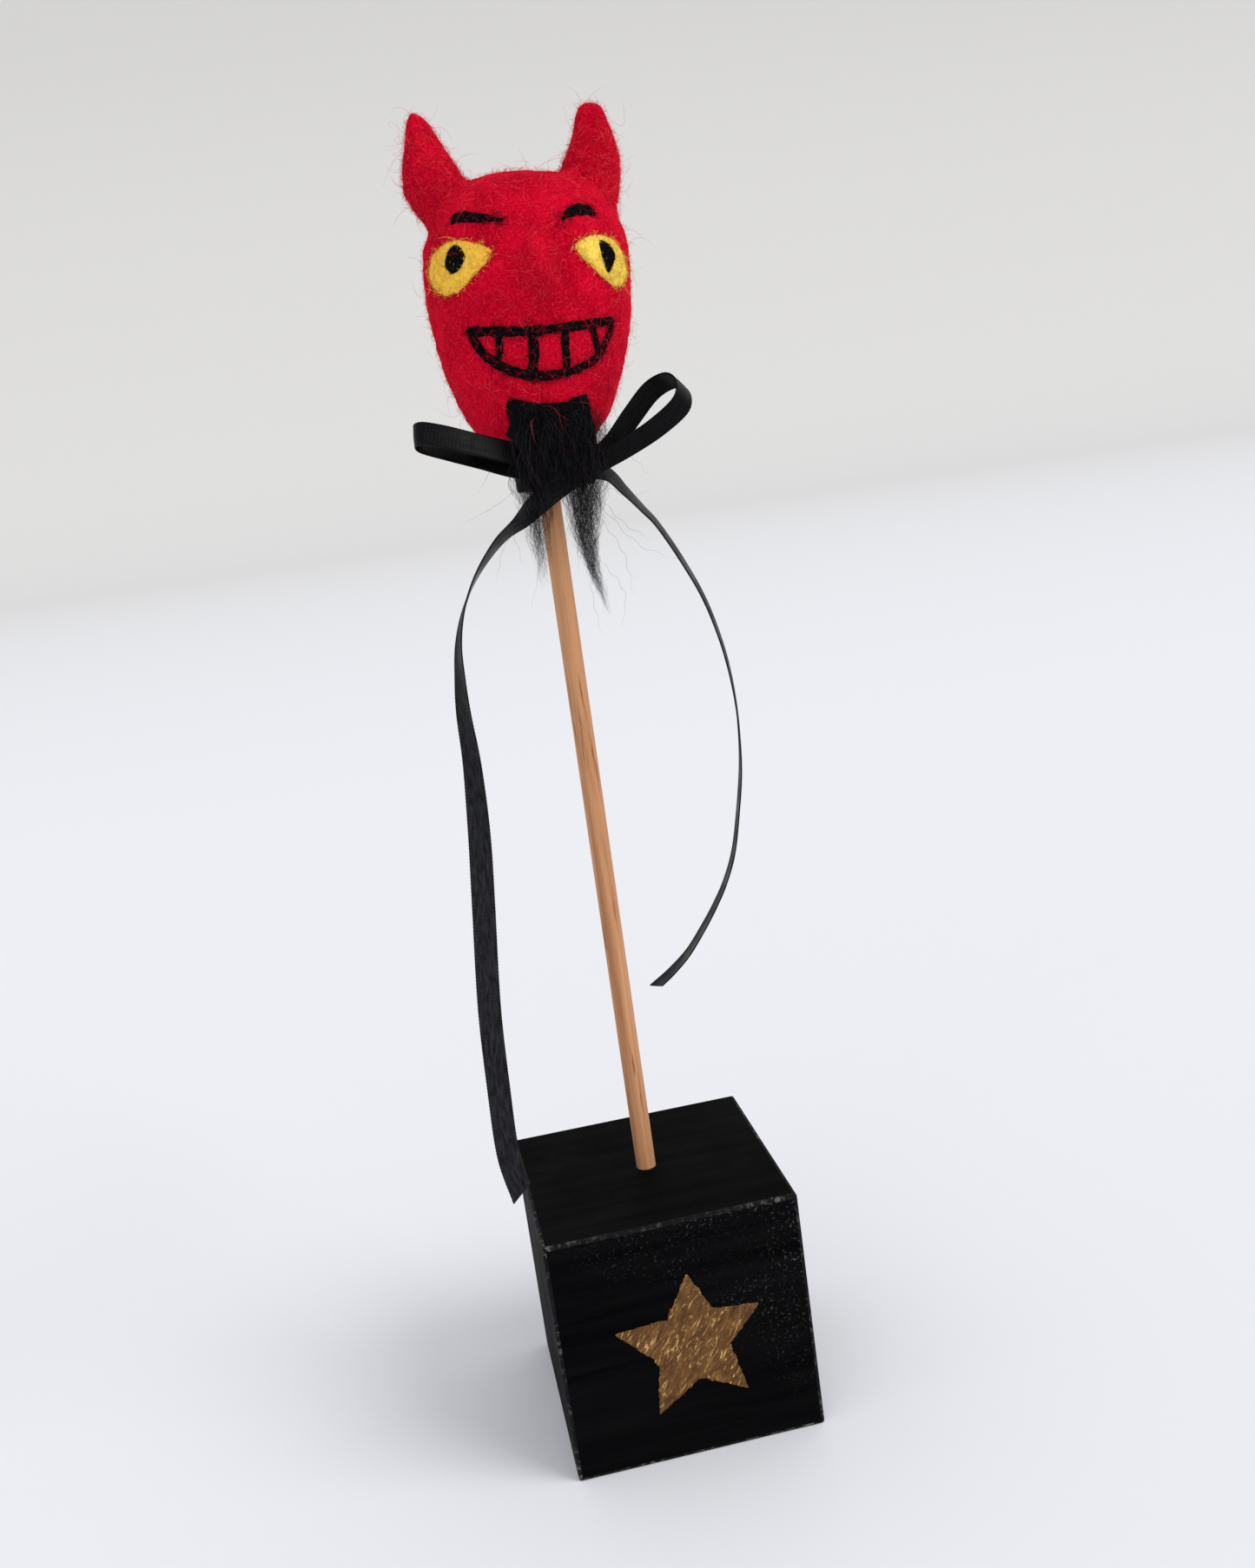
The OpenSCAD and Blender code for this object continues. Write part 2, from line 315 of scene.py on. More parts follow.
def felt(name, deep, middle, pale, sheen=0.5):
    """Needled wool: three shades mottled at the size of fibres, small spots painted in the deep shade as
    painted shade in its pits, a soft sheen and a matted surface.
    """
    s = Shader(name, middle, roughness=0.95, sheen_weight=sheen, sheen_roughness=0.5, specular_ior_level=0.02)
    s.set(s.bsdf, "Sheen Tint", (*pale, 1))
    broad = s.ramp(s.noise(160, 3), [(0.35, deep), (0.6, middle)])
    specks = s.ramp(s.noise(3400, 4, 0.65, 1.0), [(0.48, 0.0), (0.68, 1.0)])
    # Small spots pulled to the deep shade: painted shade in the felt's pits.
    painted_pit_shade = s.ramp(s.noise(2300, 4, 0.65, 0.6), [(0.36, 0.8), (0.48, 0.0)])
    s.colour(s.mix(specks, s.mix(painted_pit_shade, broad, deep), pale))
    s.bump(s.noise(700, 3, 0.6, 0.5), 0.5, 0.00015)
    s.bump(s.noise(3400, 4, 0.7, 1.0), 0.55, 0.0001)
    return s.material


def fibre_shades(name, colours, sheen=0.3):
    """Plain wool fibres in a few shades."""
    out = []
    for i, c in enumerate(colours):
        s = Shader(
            f"{name}_{i}", c, roughness=0.8, sheen_weight=sheen, sheen_roughness=0.5, specular_ior_level=0.04
        )
        s.set(s.bsdf, "Sheen Tint", (*c, 1))
        dark, pale = tuple(0.8 * v for v in c), tuple(min(1.15 * v, 1) for v in c)
        s.colour(s.ramp(s.noise(500, 2), [(0.3, dark), (0.7, pale)]))
        out.append(s.material)
    return out


def satin_ribbon(name, painted_brightness):
    """Black satin: weft ribs with painted highlights on their tops, floats and a broad soft shine. Its blacks
    are painted stronger where it hangs in the light and darker on the bow: painted light and shade.
    """
    # The base colour and the floats' blacks are scaled by this material's painted brightness: painted light,
    # lighter on the hanging tails than on the bow.
    base = (0.004 * painted_brightness, 0.004 * painted_brightness, 0.0046 * painted_brightness)
    s = Shader(
        name, base, roughness=0.38, sheen_weight=0.02, sheen_roughness=0.3, specular_ior_level=0.07,
        anisotropic=0.5,
    )
    floats = s.noise(1, 3, 0.6, 0.3, (2600, 500, 1), "UV")
    patches = s.noise(1, 2, 0.5, 0.5, (120, 260, 1), "UV")
    dark, pale = (0.0008, 0.0008, 0.001), (0.006, 0.006, 0.007)
    black = s.ramp(floats, [(0.35, tuple(painted_brightness * c for c in dark)), (0.75, tuple(painted_brightness * c for c in pale))])
    s.roughness(s.ramp(patches, [(0.3, 0.3), (0.7, 0.5)]))
    ribs = s.node("ShaderNodeTexWave", wave_type="BANDS", bands_direction="Y")
    s.set(ribs, "Scale", 1.0)
    s.set(ribs, "Distortion", 1.2)
    s.set(ribs, "Detail", 2)
    s.link(s.place((330, 630, 1), "UV"), ribs.inputs["Vector"])
    # The tops of the ribs are painted lighter grey: a painted highlight.
    painted_rib_highlight = s.ramp(ribs.outputs["Fac"], [(0.5, 0.0), (1.0, 0.16)])
    s.colour(s.mix(painted_rib_highlight, black, (0.02, 0.02, 0.022)))
    s.bump(ribs.outputs["Fac"], 0.14, 0.00004)
    s.bump(floats, 0.5, 0.00006)
    return s.material


def dowel_wood():
    """Bare birch: fine pores and streaks along the stick."""
    s = Shader("dowel_wood", (0.52, 0.26, 0.125), roughness=0.62, specular_ior_level=0.2)
    streaks = s.noise(520, 5, 0.65, 0.6, (1, 1, 0.03))
    bands = s.noise(180, 3, 0.5, 0.4, (1, 1, 0.02))
    pores = s.ramp(s.noise(1900, 3, 0.6, 0, (1, 1, 0.05)), [(0.3, 1.0), (0.42, 0.0)])
    grain = [(0.3, (0.28, 0.11, 0.045)), (0.48, (0.50, 0.24, 0.112)), (0.72, (0.63, 0.35, 0.185))]
    base = s.ramp(streaks, grain)
    toned = s.mix(s.ramp(bands, [(0.35, 0.0), (0.7, 0.45)]), base, (0.40, 0.18, 0.08))
    s.colour(s.mix(pores, toned, (0.22, 0.09, 0.04)))
    s.bump(streaks, 0.5, 0.00006)
    return s.material


def block_paint():
    """Matte black paint, brushed along X, scuffed to grey specks towards the top right of the front."""
    s = Shader("block_paint", (0.002, 0.002, 0.0024), roughness=0.65, specular_ior_level=0.012)
    brushed = s.noise(420, 4, 0.6, 0.4, (0.06, 1, 1))
    grain = s.noise(900, 4, 0.6, 0.8, (0.12, 1, 1))
    cloudy = s.noise(110, 3, 0.5, 0.5)
    tone = s.ramp(brushed, [(0.3, (0.0012, 0.0012, 0.0015)), (0.7, (0.004, 0.0038, 0.0042))])
    specks = s.ramp(s.noise(2100, 3, 0.6, 0.4), [(0.585, 0.0), (0.66, 1.0)])
    x, y, z = s.axes()
    corner = s.node("ShaderNodeMath", operation="ADD")
    s.link(x, corner.inputs[0])
    s.link(z, corner.inputs[1])
    handled = s.span(corner.outputs["Value"], 0.018, 0.058)
    front = s.span(y, -0.0186, -0.0189)
    here = s.mix(1.0, s.ramp(cloudy, [(0.40, 0.12), (0.62, 1.0)]), handled, "MULTIPLY")
    worn = s.mix(1.0, s.mix(1.0, specks, here, "MULTIPLY"), front, "MULTIPLY")
    s.colour(s.mix(worn, tone, (0.10, 0.098, 0.095)))
    s.roughness(s.ramp(cloudy, [(0.3, 0.5), (0.7, 0.66)]))
    s.bump(grain, 0.35, 0.00012)
    s.bump(brushed, 0.3, 0.0001)
    return s.material


def block_edge():
    """The block's corners, where the paint is rubbed thin and the pale wood shows as a fine broken line."""
    s = Shader("block_edge", (0.01, 0.01, 0.01), roughness=0.6, specular_ior_level=0.07)
    rubbed = s.ramp(s.noise(900, 5, 0.7, 0.5), [(0.5, 0.0), (0.6, 1.0)])
    thin = s.ramp(s.noise(140, 3, 0.6, 0.5), [(0.42, 0.06), (0.66, 0.8)])
    s.colour(s.mix(s.mix(1.0, rubbed, thin, "MULTIPLY"), (0.004, 0.004, 0.005), (0.14, 0.128, 0.115)))
    s.bump(rubbed, 0.4, 0.00006)
    return s.material


def gold_leaf():
    """Thin leaf over paint: rubbed and tarnished brown, with fine bright streaks painted in as glints, a
    painted highlight, and creases.
    """
    s = Shader("gold_leaf", (0.2, 0.1, 0.035), roughness=0.45, metallic=0.6, specular_ior_level=0.4)
    streaks = s.noise(700, 6, 0.68, 1.2, (1, 1, 0.35), turn=35)
    # Fine bright streaks painted into the colour: painted glints.
    painted_glints = s.ramp(s.noise(2000, 4, 0.62, 1.4, (1, 1, 0.22), turn=35), [(0.57, 0.0), (0.68, 0.85)])
    patches = s.noise(170, 4, 0.6, 1.0)
    browns = [(0.3, (0.05, 0.019, 0.004)), (0.5, (0.13, 0.054, 0.013)), (0.7, (0.25, 0.12, 0.032))]
    tone = s.ramp(streaks, browns)
    toned = s.mix(s.ramp(patches, [(0.5, 0.0), (0.72, 0.55)]), tone, (0.085, 0.036, 0.010))
    s.colour(s.mix(painted_glints, toned, (0.85, 0.52, 0.18)))
    s.roughness(s.ramp(patches, [(0.3, 0.3), (0.7, 0.5)]))
    s.bump(streaks, 0.8, 0.00025)
    return s.material


def core_wool():
    s = Shader("core_wool", (0.80, 0.76, 0.67), roughness=0.95, sheen_weight=0.3)
    s.colour(s.ramp(s.noise(700, 4, 0.6, 1.0), [(0.3, (0.66, 0.61, 0.52)), (0.7, (0.86, 0.83, 0.75))]))
    s.bump(s.noise(1200, 4, 0.7, 1.5), 0.6, 0.0002)
    return s.material


# ---------------------------------------------------------------- camera


def make_camera():
    """A hand-held camera level with the puppet's chin, a little to its left and rolled."""
    azimuth, elevation, roll = (math.radians(a) for a in (-8.73, 11.93, -7.94))
    target, distance = Vector((5.42, 0, 98.66)) * MM, 0.2222
    level = math.cos(elevation)
    back = Vector((math.sin(azimuth) * level, -math.cos(azimuth) * level, math.sin(elevation)))
    right = (-back).cross(Vector((0, 0, 1))).normalized()
    up = right.cross(-back)
    turned = (
        right * math.cos(roll) + up * math.sin(roll),
        up * math.cos(roll) - right * math.sin(roll),
        back,
    )
    data = bpy.data.cameras.new("camera")
    data.lens, data.sensor_width = 34.3, 36
    data.clip_start, data.clip_end = 0.01, 50
    camera = linked("camera", data)
    camera.matrix_world = Matrix.Translation(target + back * distance) @ Matrix(turned).transposed().to_4x4()
    bpy.context.scene.camera = camera


# ---------------------------------------------------------------- ribbon

RIBBON_W, RIBBON_T = 3.2, 0.26
# The routes are those of part.scad. A tail's fourth number is the compass angle of the ribbon's width.
LEFT_LOOP = [
    (3.5, -6.4, 145.9), (0, -7, 146.8), (-5, -7.6, 148.3), (-10, -8.6, 150.1), (-14, -9, 151.6),
    (-16.8, -8.6, 152.4), (-17.8, -7.2, 152.2), (-17, -5.9, 151.4), (-13.4, -5.6, 149.9),
    (-9.4, -5.9, 148.3), (-4.8, -6.3, 146.4), (0, -6.1, 145.3), (3.5, -5.4, 144.9),
]
RIGHT_LOOP = [
    (5.6, -6, 145.8), (8.7, -6.9, 147.6), (12.1, -6.7, 151.1), (15.2, -7.2, 154.1), (17.5, -9.9, 155),
    (18.4, -12.3, 153.8), (17.5, -14, 151.5), (14.4, -11.9, 149.1), (10.6, -9.1, 147.1), (6.2, -6.6, 145.3),
]
LEFT_WIDTH, RIGHT_WIDTH = (-0.1, -0.35, -0.93), (0.66, 0.37, -0.66)
LEFT_TAIL = [
    (3.4, -6.6, 144.4, 5), (0.2, -7.4, 142.9, 8), (-2.6, -7.8, 141.2, 14), (-5.3, -8, 139.2, 30),
    (-8.8, -8.2, 136.9, 54), (-12.4, -8.4, 133, 73), (-15, -8.6, 128.6, 88), (-16.5, -9, 124, 100),
    (-17.1, -9.5, 119.2, 112), (-17.4, -10, 114.4, 124), (-17.4, -10.8, 107.2, 138),
    (-18, -11.8, 97.6, 160), (-19, -13, 88.2, 176), (-20.6, -15, 73.8, 180), (-21.2, -16, 62, 180),
    (-21.4, -16.8, 52.4, 180), (-20.4, -17, 46, 178),
]
RIGHT_TAIL = [
    (6, -5, 144.8, 30), (8.4, -4, 143.5, 50), (10.4, -3, 141.2, 59), (12.7, -2, 138.4, 65),
    (14.9, -1, 135.6, 68), (17.9, 0, 130.2, 69), (20.5, 1, 124.6, 71), (22.3, 2, 119, 72),
    (23.5, 3, 113.6, 73), (24.2, 4, 108, 75), (24.5, 5.5, 102.3, 78), (24.4, 7, 96.6, 81),
    (23.9, 9, 90.7, 82), (22.7, 11.2, 82.8, 83), (21.1, 13, 77.4, 83), (19.2, 14.5, 73.2, 84),
    (16.9, 16, 69.1, 86), (14.2, 17.5, 65, 88), (11.3, 19, 61.8, 93), (8.6, 20.1, 59.5, 98),
]
# The small loops along the selvedge: how far apart they are and how far they stand out
PICOT_PITCH, PICOT_OUT = 0.5, 0.04
# A ribbon's lines have eight steps to a picot
STEP = PICOT_PITCH / 8
# How much of a tail's end leans into its slanting cut
CUT_LENGTH = 2.5
# Places across a ribbon, from one selvedge to the other, and the half thickness there
ACROSS = np.array([-1, -0.97, -0.9, -0.8, -0.4, 0, 0.4, 0.8, 0.9, 0.97, 1])
THICK = np.array([0.25, 0.8, 1.0, 0.75, 0.7, 0.7, 0.7, 0.75, 1.0, 0.8, 0.25]) * RIBBON_T / 2


def ribbon_mesh(line, width_dirs, cup, width=RIBBON_W, slant=0.0):
    """Points, faces and weave coordinates of a satin ribbon with picot edges.

    line has even steps of STEP, cup bows it across, and slant cuts its last end at an angle.
    """
    d = tangents(line)
    side = unit(width_dirs - d * (width_dirs * d).sum(1)[:, None])
    face = np.cross(d, side)
    along = travelled(line)
    picot = PICOT_OUT * np.abs(np.sin(math.pi * along / PICOT_PITCH))
    crown = cup * (1 - ACROSS**2)
    near_cut = np.clip((along - along[-1] + CUT_LENGTH) / CUT_LENGTH, 0, 1) ** 2
    rows, weave = [], []
    for sign in (1, -1):
        for j in range(len(ACROSS))[::sign]:
            u = ACROSS[j]
            half = width / 2 + picot * (abs(u) > 0.94)
            out, ahead = (u * half)[:, None], (slant * u * near_cut)[:, None]
            rows.append(line + side * out + face * (crown[j] + sign * THICK[j]) + d * ahead)
            weave.append(np.stack([np.full(len(line), u * width / 2 * MM), along * MM], axis=1))
    points = np.stack(rows, axis=1).reshape(-1, 3)
    return points, tube_faces(len(line), len(rows)), np.stack(weave, axis=1).reshape(-1, 2)


def ribbon_piece(name, ribbons, satin):
    """One piece from what ribbon_mesh gives, with the weave in its UV map."""
    parts = Parts()
    for points, faces, _ in ribbons:
        parts.add(points, faces)
    obj = parts.make(name, [satin], "satin_ribbon")
    weave = np.concatenate([ribbon[2] for ribbon in ribbons])
    corner = values(obj.data.loops, "vertex_index", 1, int).ravel()
    obj.data.uv_layers.new(name="weave").data.foreach_set("uv", weave[corner].ravel())
    return obj


def even(route):
    """A route made smooth and cut into even steps."""
    line = smooth(route, 8)
    return spaced(line, int(length_of(line[:, :3]) / STEP))


def make_tails(satin):
    """The two free ends of the ribbon. Their length is read off the route that the photograph shows."""
    for name, route, slant in (("ribbon_tail_left", LEFT_TAIL, 1.0), ("ribbon_tail_right", RIGHT_TAIL, 1.4)):
        line = even(route)
        path, angle = line[:, :3], np.radians(line[:, 3])
        dirs = np.stack([np.cos(angle), np.sin(angle), 0 * angle], axis=1)
        tail = ribbon_piece(name, [ribbon_mesh(path, dirs, 0.12, slant=slant)], satin)


def make_bow(satin):
    loops = (("bow_loop_left", LEFT_LOOP, LEFT_WIDTH), ("bow_loop_right", RIGHT_LOOP, RIGHT_WIDTH))
    for name, route, direction in loops:
        line = even(route)
        ribbon_piece(name, [ribbon_mesh(line, np.tile(direction, (len(line), 1)), 0.1)], satin)
    make_knot(satin)
    make_neck_wrap(satin)


def band(centre, radius_a, radius_b, a, b, turns, lift, width):
    """A ribbon wound round a centre in the plane of a and b, which climbs by lift with each turn."""
    angle = np.arange(0, turns * 2 * math.pi, STEP / max(radius_a, radius_b))
    a, b = unit(np.array(a, float)), unit(np.array(b, float))
    axis = unit(np.cross(a, b))
    grow = 1 + 0.05 * angle / (2 * math.pi)
    line = (
        centre
        + a * (radius_a * grow * np.cos(angle))[:, None]
        + b * (radius_b * grow * np.sin(angle))[:, None]
        + axis * (lift * angle / (2 * math.pi))[:, None]
    )
    return ribbon_mesh(line, np.tile(axis, (len(line), 1)), 0.05, width)


def make_knot(satin):
    """The bow's centre: the ribbon drawn tight over itself."""
    centre = np.array([5, -5.7, 145.2])
    over = band(centre, 2.1, 1.75, (0.25, 0, 1), (0.1, 1, 0), 1.15, 0.3, 3.0)
    under = band(centre, 1.6, 1.35, (0.75, 0, 0.7), (0.1, 1, 0), 1.1, 0.2, 3.3)
    ribbon_piece("bow_knot", [over, under], satin)


def make_neck_wrap(satin):
    """Two turns of ribbon round the felt neck."""
    low, high = (np.array(corner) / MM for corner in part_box("neck_wrap"))
    centre = np.array([*(low + high)[:2] / 2, low[2] + RIBBON_W / 2 + 0.2])
    turns = band(centre, 3.65, 3.65, (0, 1, 0), (1, 0, 0), 2.05, -0.15, RIBBON_W)
    ribbon_piece("neck_wrap", [turns], satin)


# ---------------------------------------------------------------- fibres


def nearest(tree, points):
    """The closest places on a surface and their normals."""
    found = [tree.find_nearest(Vector(p)) for p in points]
    return np.array([f[0] for f in found]), np.array([f[1] for f in found])


def scattered(mesh, count, rng):
    """Random places on a mesh, spread evenly by area, with the faces' normals."""
    area = values(mesh.polygons, "area", 1).ravel()
    pick = rng.choice(len(area), count, p=area / area.sum())
    middle, normal = values(mesh.polygons, "center"), values(mesh.polygons, "normal")
    return middle[pick] / MM + rng.uniform(-0.15, 0.15, (count, 3)), normal[pick]


def lying(tree, start, heading, length, lift, rng, steps, bend=0.5):
    """Hairs that creep over a surface from start, wandering as they go."""
    p, d, lines = start, heading, []
    for i in range(steps):
        foot, normal = nearest(tree, p)
        d = unit(d - normal * (d * normal).sum(1)[:, None])
        rise = lift * math.sin(math.pi * (i + 0.35) / steps)
        lines.append(foot + normal * rise[:, None])
        d = unit(d + np.cross(normal, d) * rng.normal(0, bend, (len(p), 1)))
        p = foot + d * (length / (steps - 1))[:, None]
    return np.stack(lines, axis=1)


def rising(start, normal, length, rng, lean, steps, curl=0.35):
    """Hairs that stand off a surface and bow over."""
    side = unit(np.cross(normal, rng.normal(size=start.shape)))
    other = np.cross(normal, side)
    t = np.linspace(0, 1, steps)[None, :, None]
    reach = length[:, None, None]
    slope = rng.uniform(0.2, lean, (len(start), 1, 1))
    twist = rng.uniform(-curl, curl, (len(start), 1, 1))
    up = normal[:, None] * (t * (1 - 0.35 * slope * t))
    over = side[:, None] * (slope * t**1.5) + other[:, None] * (twist * np.sin(3.5 * t))
    return start[:, None] - normal[:, None] * 0.1 + reach * (up + over)


def felt_over(parts, tree, mesh, counts, rng, shades, pale, length=3.6):
    """Matted hairs, short fuzz and long strays over a piece of felt, as counts gives them."""
    flat, fuzz, stray = counts
    start, _ = scattered(mesh, flat, rng)
    heading = unit(rng.normal(size=start.shape))
    reach, lift = rng.uniform(0.4, 1.1, flat) * length, rng.uniform(0.02, 0.16, flat)
    lines = lying(tree, start, heading, reach, lift, rng, 4)
    parts.add_hairs(lines, rng.uniform(0.016, 0.032, flat), rng, shades)
    start, normal = scattered(mesh, fuzz, rng)
    short = rising(start, normal, rng.uniform(0.35, 1.05, fuzz) * min(1, length / 2.5), rng, 1.6, 3)
    parts.add_hairs(short, rng.uniform(0.014, 0.025, fuzz), rng, shades)
    start, normal = scattered(mesh, stray, rng)
    long = rng.uniform(1.0, 3.0, stray) * rng.choice([0.6, 1, 1.5], stray)
    parts.add_hairs(rising(start, normal, long, rng, 1.8, 7, 0.6), rng.uniform(0.014, 0.02, stray), rng, pale)


# ---------------------------------------------------------------- head

FELT_VOXEL = 0.42
YARN_HEIGHT = 0.15
# How many matted, short and stray hairs a felt piece has
HAIRS = {
    "head_skin": (1600, 6500, 420), "horn_left": (320, 1900, 70), "horn_right": (320, 1900, 70),
    "nose": (80, 420, 6), "eye": (420, 900, 14), "pupil": (110, 160, 3),
}

def in_world(points):
    """Points of the head's own frame, whose height is over the place it leans about."""
    return points @ HEAD_TURN.T + HEAD_AT


def onto(tree):
    """A function that finds where places on the face, as distance right and height, meet the felt."""

    def place(flat):
        start = in_world(np.stack([flat[:, 0], np.full(len(flat), -40.0), flat[:, 1]], axis=1))
        ray = Vector(HEAD_TURN @ (0, 1, 0))
        spots, normals = [], []
        for s, f in zip(start, flat, strict=True):
            hit, normal, _, _ = tree.ray_cast(Vector(s), ray)
            if hit is None:
                edge = in_world(np.array([[f[0], -3.5, f[1]]]))[0]
                hit, normal, _, _ = tree.find_nearest(Vector(edge))
            spots.append(hit)
            normals.append(normal)
        return np.array(spots), np.array(normals)

    return place


def eased(points, mesh, weight, rounds):
    """Points drawn towards the middle of their neighbours, round after round, by each one's weight."""
    edges = values(mesh.edges, "vertices", 2, int)
    degree = np.bincount(edges.ravel(), minlength=len(points))[:, None]
    ends = (edges.T, edges.T[::-1])
    for _ in range(rounds):
        sums = [sum(np.bincount(a, points[b, k], len(points)) for a, b in ends) for k in range(3)]
        points = points + 0.5 * weight[:, None] * (np.stack(sums, axis=1) / degree - points)
    return points


def bell(*terms):
    """A smooth hump, for terms of a value, the middle where it is highest and the width."""
    return np.exp(-sum(((value - middle) / width) ** 2 for value, middle, width in terms))


def melted_solids():
    """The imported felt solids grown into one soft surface, as a mesh."""
    joined = bmesh.new()
    for node in ("head_skin", "head_core", "horn_left", "horn_right"):
        joined.from_mesh(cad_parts[node].data)
    bmesh.ops.remove_doubles(joined, verts=joined.verts, dist=1e-7)
    work = temporary(joined, "felt_work")
    melt = work.modifiers.new("melt", "REMESH")
    melt.mode, melt.voxel_size = "VOXEL", FELT_VOXEL * MM
    soften = work.modifiers.new("soften", "SMOOTH")
    soften.factor, soften.iterations = 0.5, 18
    melted = modified(work)
    bpy.data.objects.remove(work)
    return melted


def melted_head():
    """The melted solids with the horns eased in, the nose drawn out and the felt made a little lumpy."""
    melted = melted_solids()
    normal = values(melted.vertices, "normal")
    own = (values(melted.vertices, "co") / MM - HEAD_AT) @ HEAD_TURN
    roots = bell((own[:, 2], 31, 3.2)) * np.clip((np.abs(own[:, 0]) - 5) / 2, 0, 1)
    own = eased(own, melted, np.clip(1.6 * roots, 0, 1), 70)
    x, h = own[:, 0], own[:, 2]
    left, right = np.clip((-x - 9) / 3, 0, 1), np.clip((x - 9.5) / 3, 0, 1)
    # The horns run into the temples without a step, and the right one is fuller towards its tip
    waist = 1.25 * left * bell((h, 29.8, 2.8)) - 0.55 * right * bell((h, 30.5, 3))
    own[:, 0] += waist + 0.7 * right * bell((h, 39.5, 3.2))
    own[:, 2] += 0.6 * np.clip((h - 38) / 4, 0, 1)
    # The nose is a soft ridge that is fullest near its tip, with hollows where it meets the cheeks
    front = own[:, 1] < 0
    ridge = 1.9 * bell((x, 0.6, 1.8), (h, 21.4, 3.4))
    tip = 0.85 * bell((x, 0.6, 1.6), (h, 19.6, 1.5))
    hollow = 0.8 * bell((np.abs(x - 0.6), 3.4, 1.3), (h, 19.3, 3))
    own[:, 1] -= np.where(front, ridge + tip - hollow, 0)
    co = in_world(own)
    lumps = 0.28 * rough(co, 5.0, 1) + 0.14 * rough(co, 1.9, 2) + 0.08 * rough(co, 0.8, 3) + 0.12
    melted.vertices.foreach_set("co", ((co + normal * lumps[:, None]) * MM).ravel())
    return melted


def split_head(melted):
    """The melted surface cut back into the skin and the horns by the CAD solid nearest to it.

    Each has its points, its outer faces, the caps that close it and the points' normals on the whole surface.
    """
    names = ("head_skin", "horn_left", "horn_right")
    trees = [tree_of(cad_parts[n].data) for n in names]
    middle = values(melted.polygons, "center") / MM
    label = [min(range(len(names)), key=lambda k: trees[k].find_nearest(Vector(p))[3]) for p in middle]
    out = {}
    for k, name in enumerate(names):
        bm = bmesh.new()
        bm.from_mesh(melted)
        others = [f for f, one in zip(bm.faces, label, strict=True) if one != k]
        bmesh.ops.delete(bm, geom=others, context="FACES")
        bm.verts.index_update()
        points = np.array([v.co for v in bm.verts]) / MM
        normals = np.array([v.normal for v in bm.verts])
        outer = [tuple(v.index for v in f.verts) for f in bm.faces]
        caps = bmesh.ops.holes_fill(bm, edges=[e for e in bm.edges if e.is_boundary], sides=0)["faces"]
        caps = bmesh.ops.triangulate(bm, faces=caps)["faces"]
        out[name] = (points, outer, [tuple(v.index for v in f.verts) for f in caps], normals)
        bm.free()
    return out


def shade_across_cuts(obj, normals):
    """Shade the first points of a piece by the whole surface's normals, so that a cut leaves no line."""
    own = values(obj.data.vertices, "normal")
    own[: len(normals)] = normals
    obj.data.normals_split_custom_set_from_vertices(own.tolist())


def pad(outline, place, stand, depth=0.5, rings=9):
    """A soft closed pad over a surface; stand gives its height at 0, the middle, to 1, the rim."""
    if np.cross(outline, np.roll(outline, -1, axis=0)).sum() < 0:
        outline = outline[::-1]
    middle = outline.mean(0)
    levels = np.concatenate([[0.04], np.linspace(0.16, 1, rings) ** 0.8])
    flat = np.concatenate([middle + (outline - middle) * s for s in levels])
    spots, normals = place(flat)
    rise = np.repeat([stand(s) for s in levels], len(outline))
    top = (spots + normals * rise[:, None]).reshape(len(levels), -1, 3)
    under = (spots - normals * depth).reshape(len(levels), -1, 3)
    points = np.concatenate([under, top[::-1]]).reshape(-1, 3)
    return points, tube_faces(2 * len(levels), len(outline))


def felt_pad(outline, tree, stand, size, seed, lump, *shape):
    """A lumpy pad of felt: its points and faces, parts to add fibres to, its mesh and its search tree."""
    points, faces = pad(outline, onto(tree), stand, *shape)
    points = points + rough(points, size, seed)[:, None] * lump
    parts = Parts()
    parts.add(points, faces)
    mesh = mesh_of("work", points, faces)
    return (points, faces), parts, mesh, tree_of(mesh)


def yarn(flat_line, width, taper, place, seed):
    """A flattened strand of wool needled along a line on the face: its points, faces, line and directions.

    taper has how many steps it takes to its full width from its first end and from its last.
    """
    line = spaced(smooth(flat_line, 10), max(8, int(length_of(np.array(flat_line, float)) / 0.22)))
    spots, normals = place(line)
    d = tangents(spots)
    side = unit(np.cross(normals, d))
    steps = np.arange(len(spots))
    ends = np.clip(np.minimum(steps / taper[0], steps[::-1] / taper[1]), 0.12, 1) ** 0.6
    half = width / 2 * ends * (1 + 0.22 * rough(spots, 0.9, seed + 11))
    angle = around(10)
    rings = (
        spots[:, None]
        + side[:, None] * (half[:, None, None] * np.cos(angle)[None, :, None])
        + normals[:, None] * (YARN_HEIGHT * ends[:, None, None] * np.sin(angle)[None, :, None])
    )
    points = rings.reshape(-1, 3)
    points = points + rough(points, 0.45, seed + 5)[:, None] * 0.07
    return points, tube_faces(len(spots), 10), spots, d


# The features' outlines on the face, as distance right and height
NOSE_EDGE = [
    (0.7, 25.6), (-0.5, 24), (-1.5, 20.5), (-1.2, 17.8), (0.5, 16.8), (2.3, 17.8), (2.5, 20.5), (1.9, 24),
]
EYE_SIZE = {"left": 0.93, "right": 0.95}
EYES = {
    "left": [
        (-4.8, 23.4), (-7.4, 25.1), (-10.5, 25.8), (-13.2, 24.4), (-13.8, 21.7), (-12.6, 19), (-10.2, 18.5),
        (-7.3, 20.8),
    ],
    "right": [
        (5.2, 23.4), (6.6, 24.6), (8.9, 25.3), (11.4, 24.8), (13, 23), (13.3, 20.8), (12.4, 18.9),
        (11.1, 18.3), (9, 19.4), (7, 21.4),
    ],
}
PUPILS = {
    "left": [(-9.5, 24.8), (-8.7, 23.2), (-9.5, 21.7), (-10.6, 21.3), (-11.3, 22.6), (-10.7, 24.3)],
    "right": [(9, 24.3), (10.6, 23.6), (11.1, 22.2), (10, 20.1), (9.3, 21.6)],
}
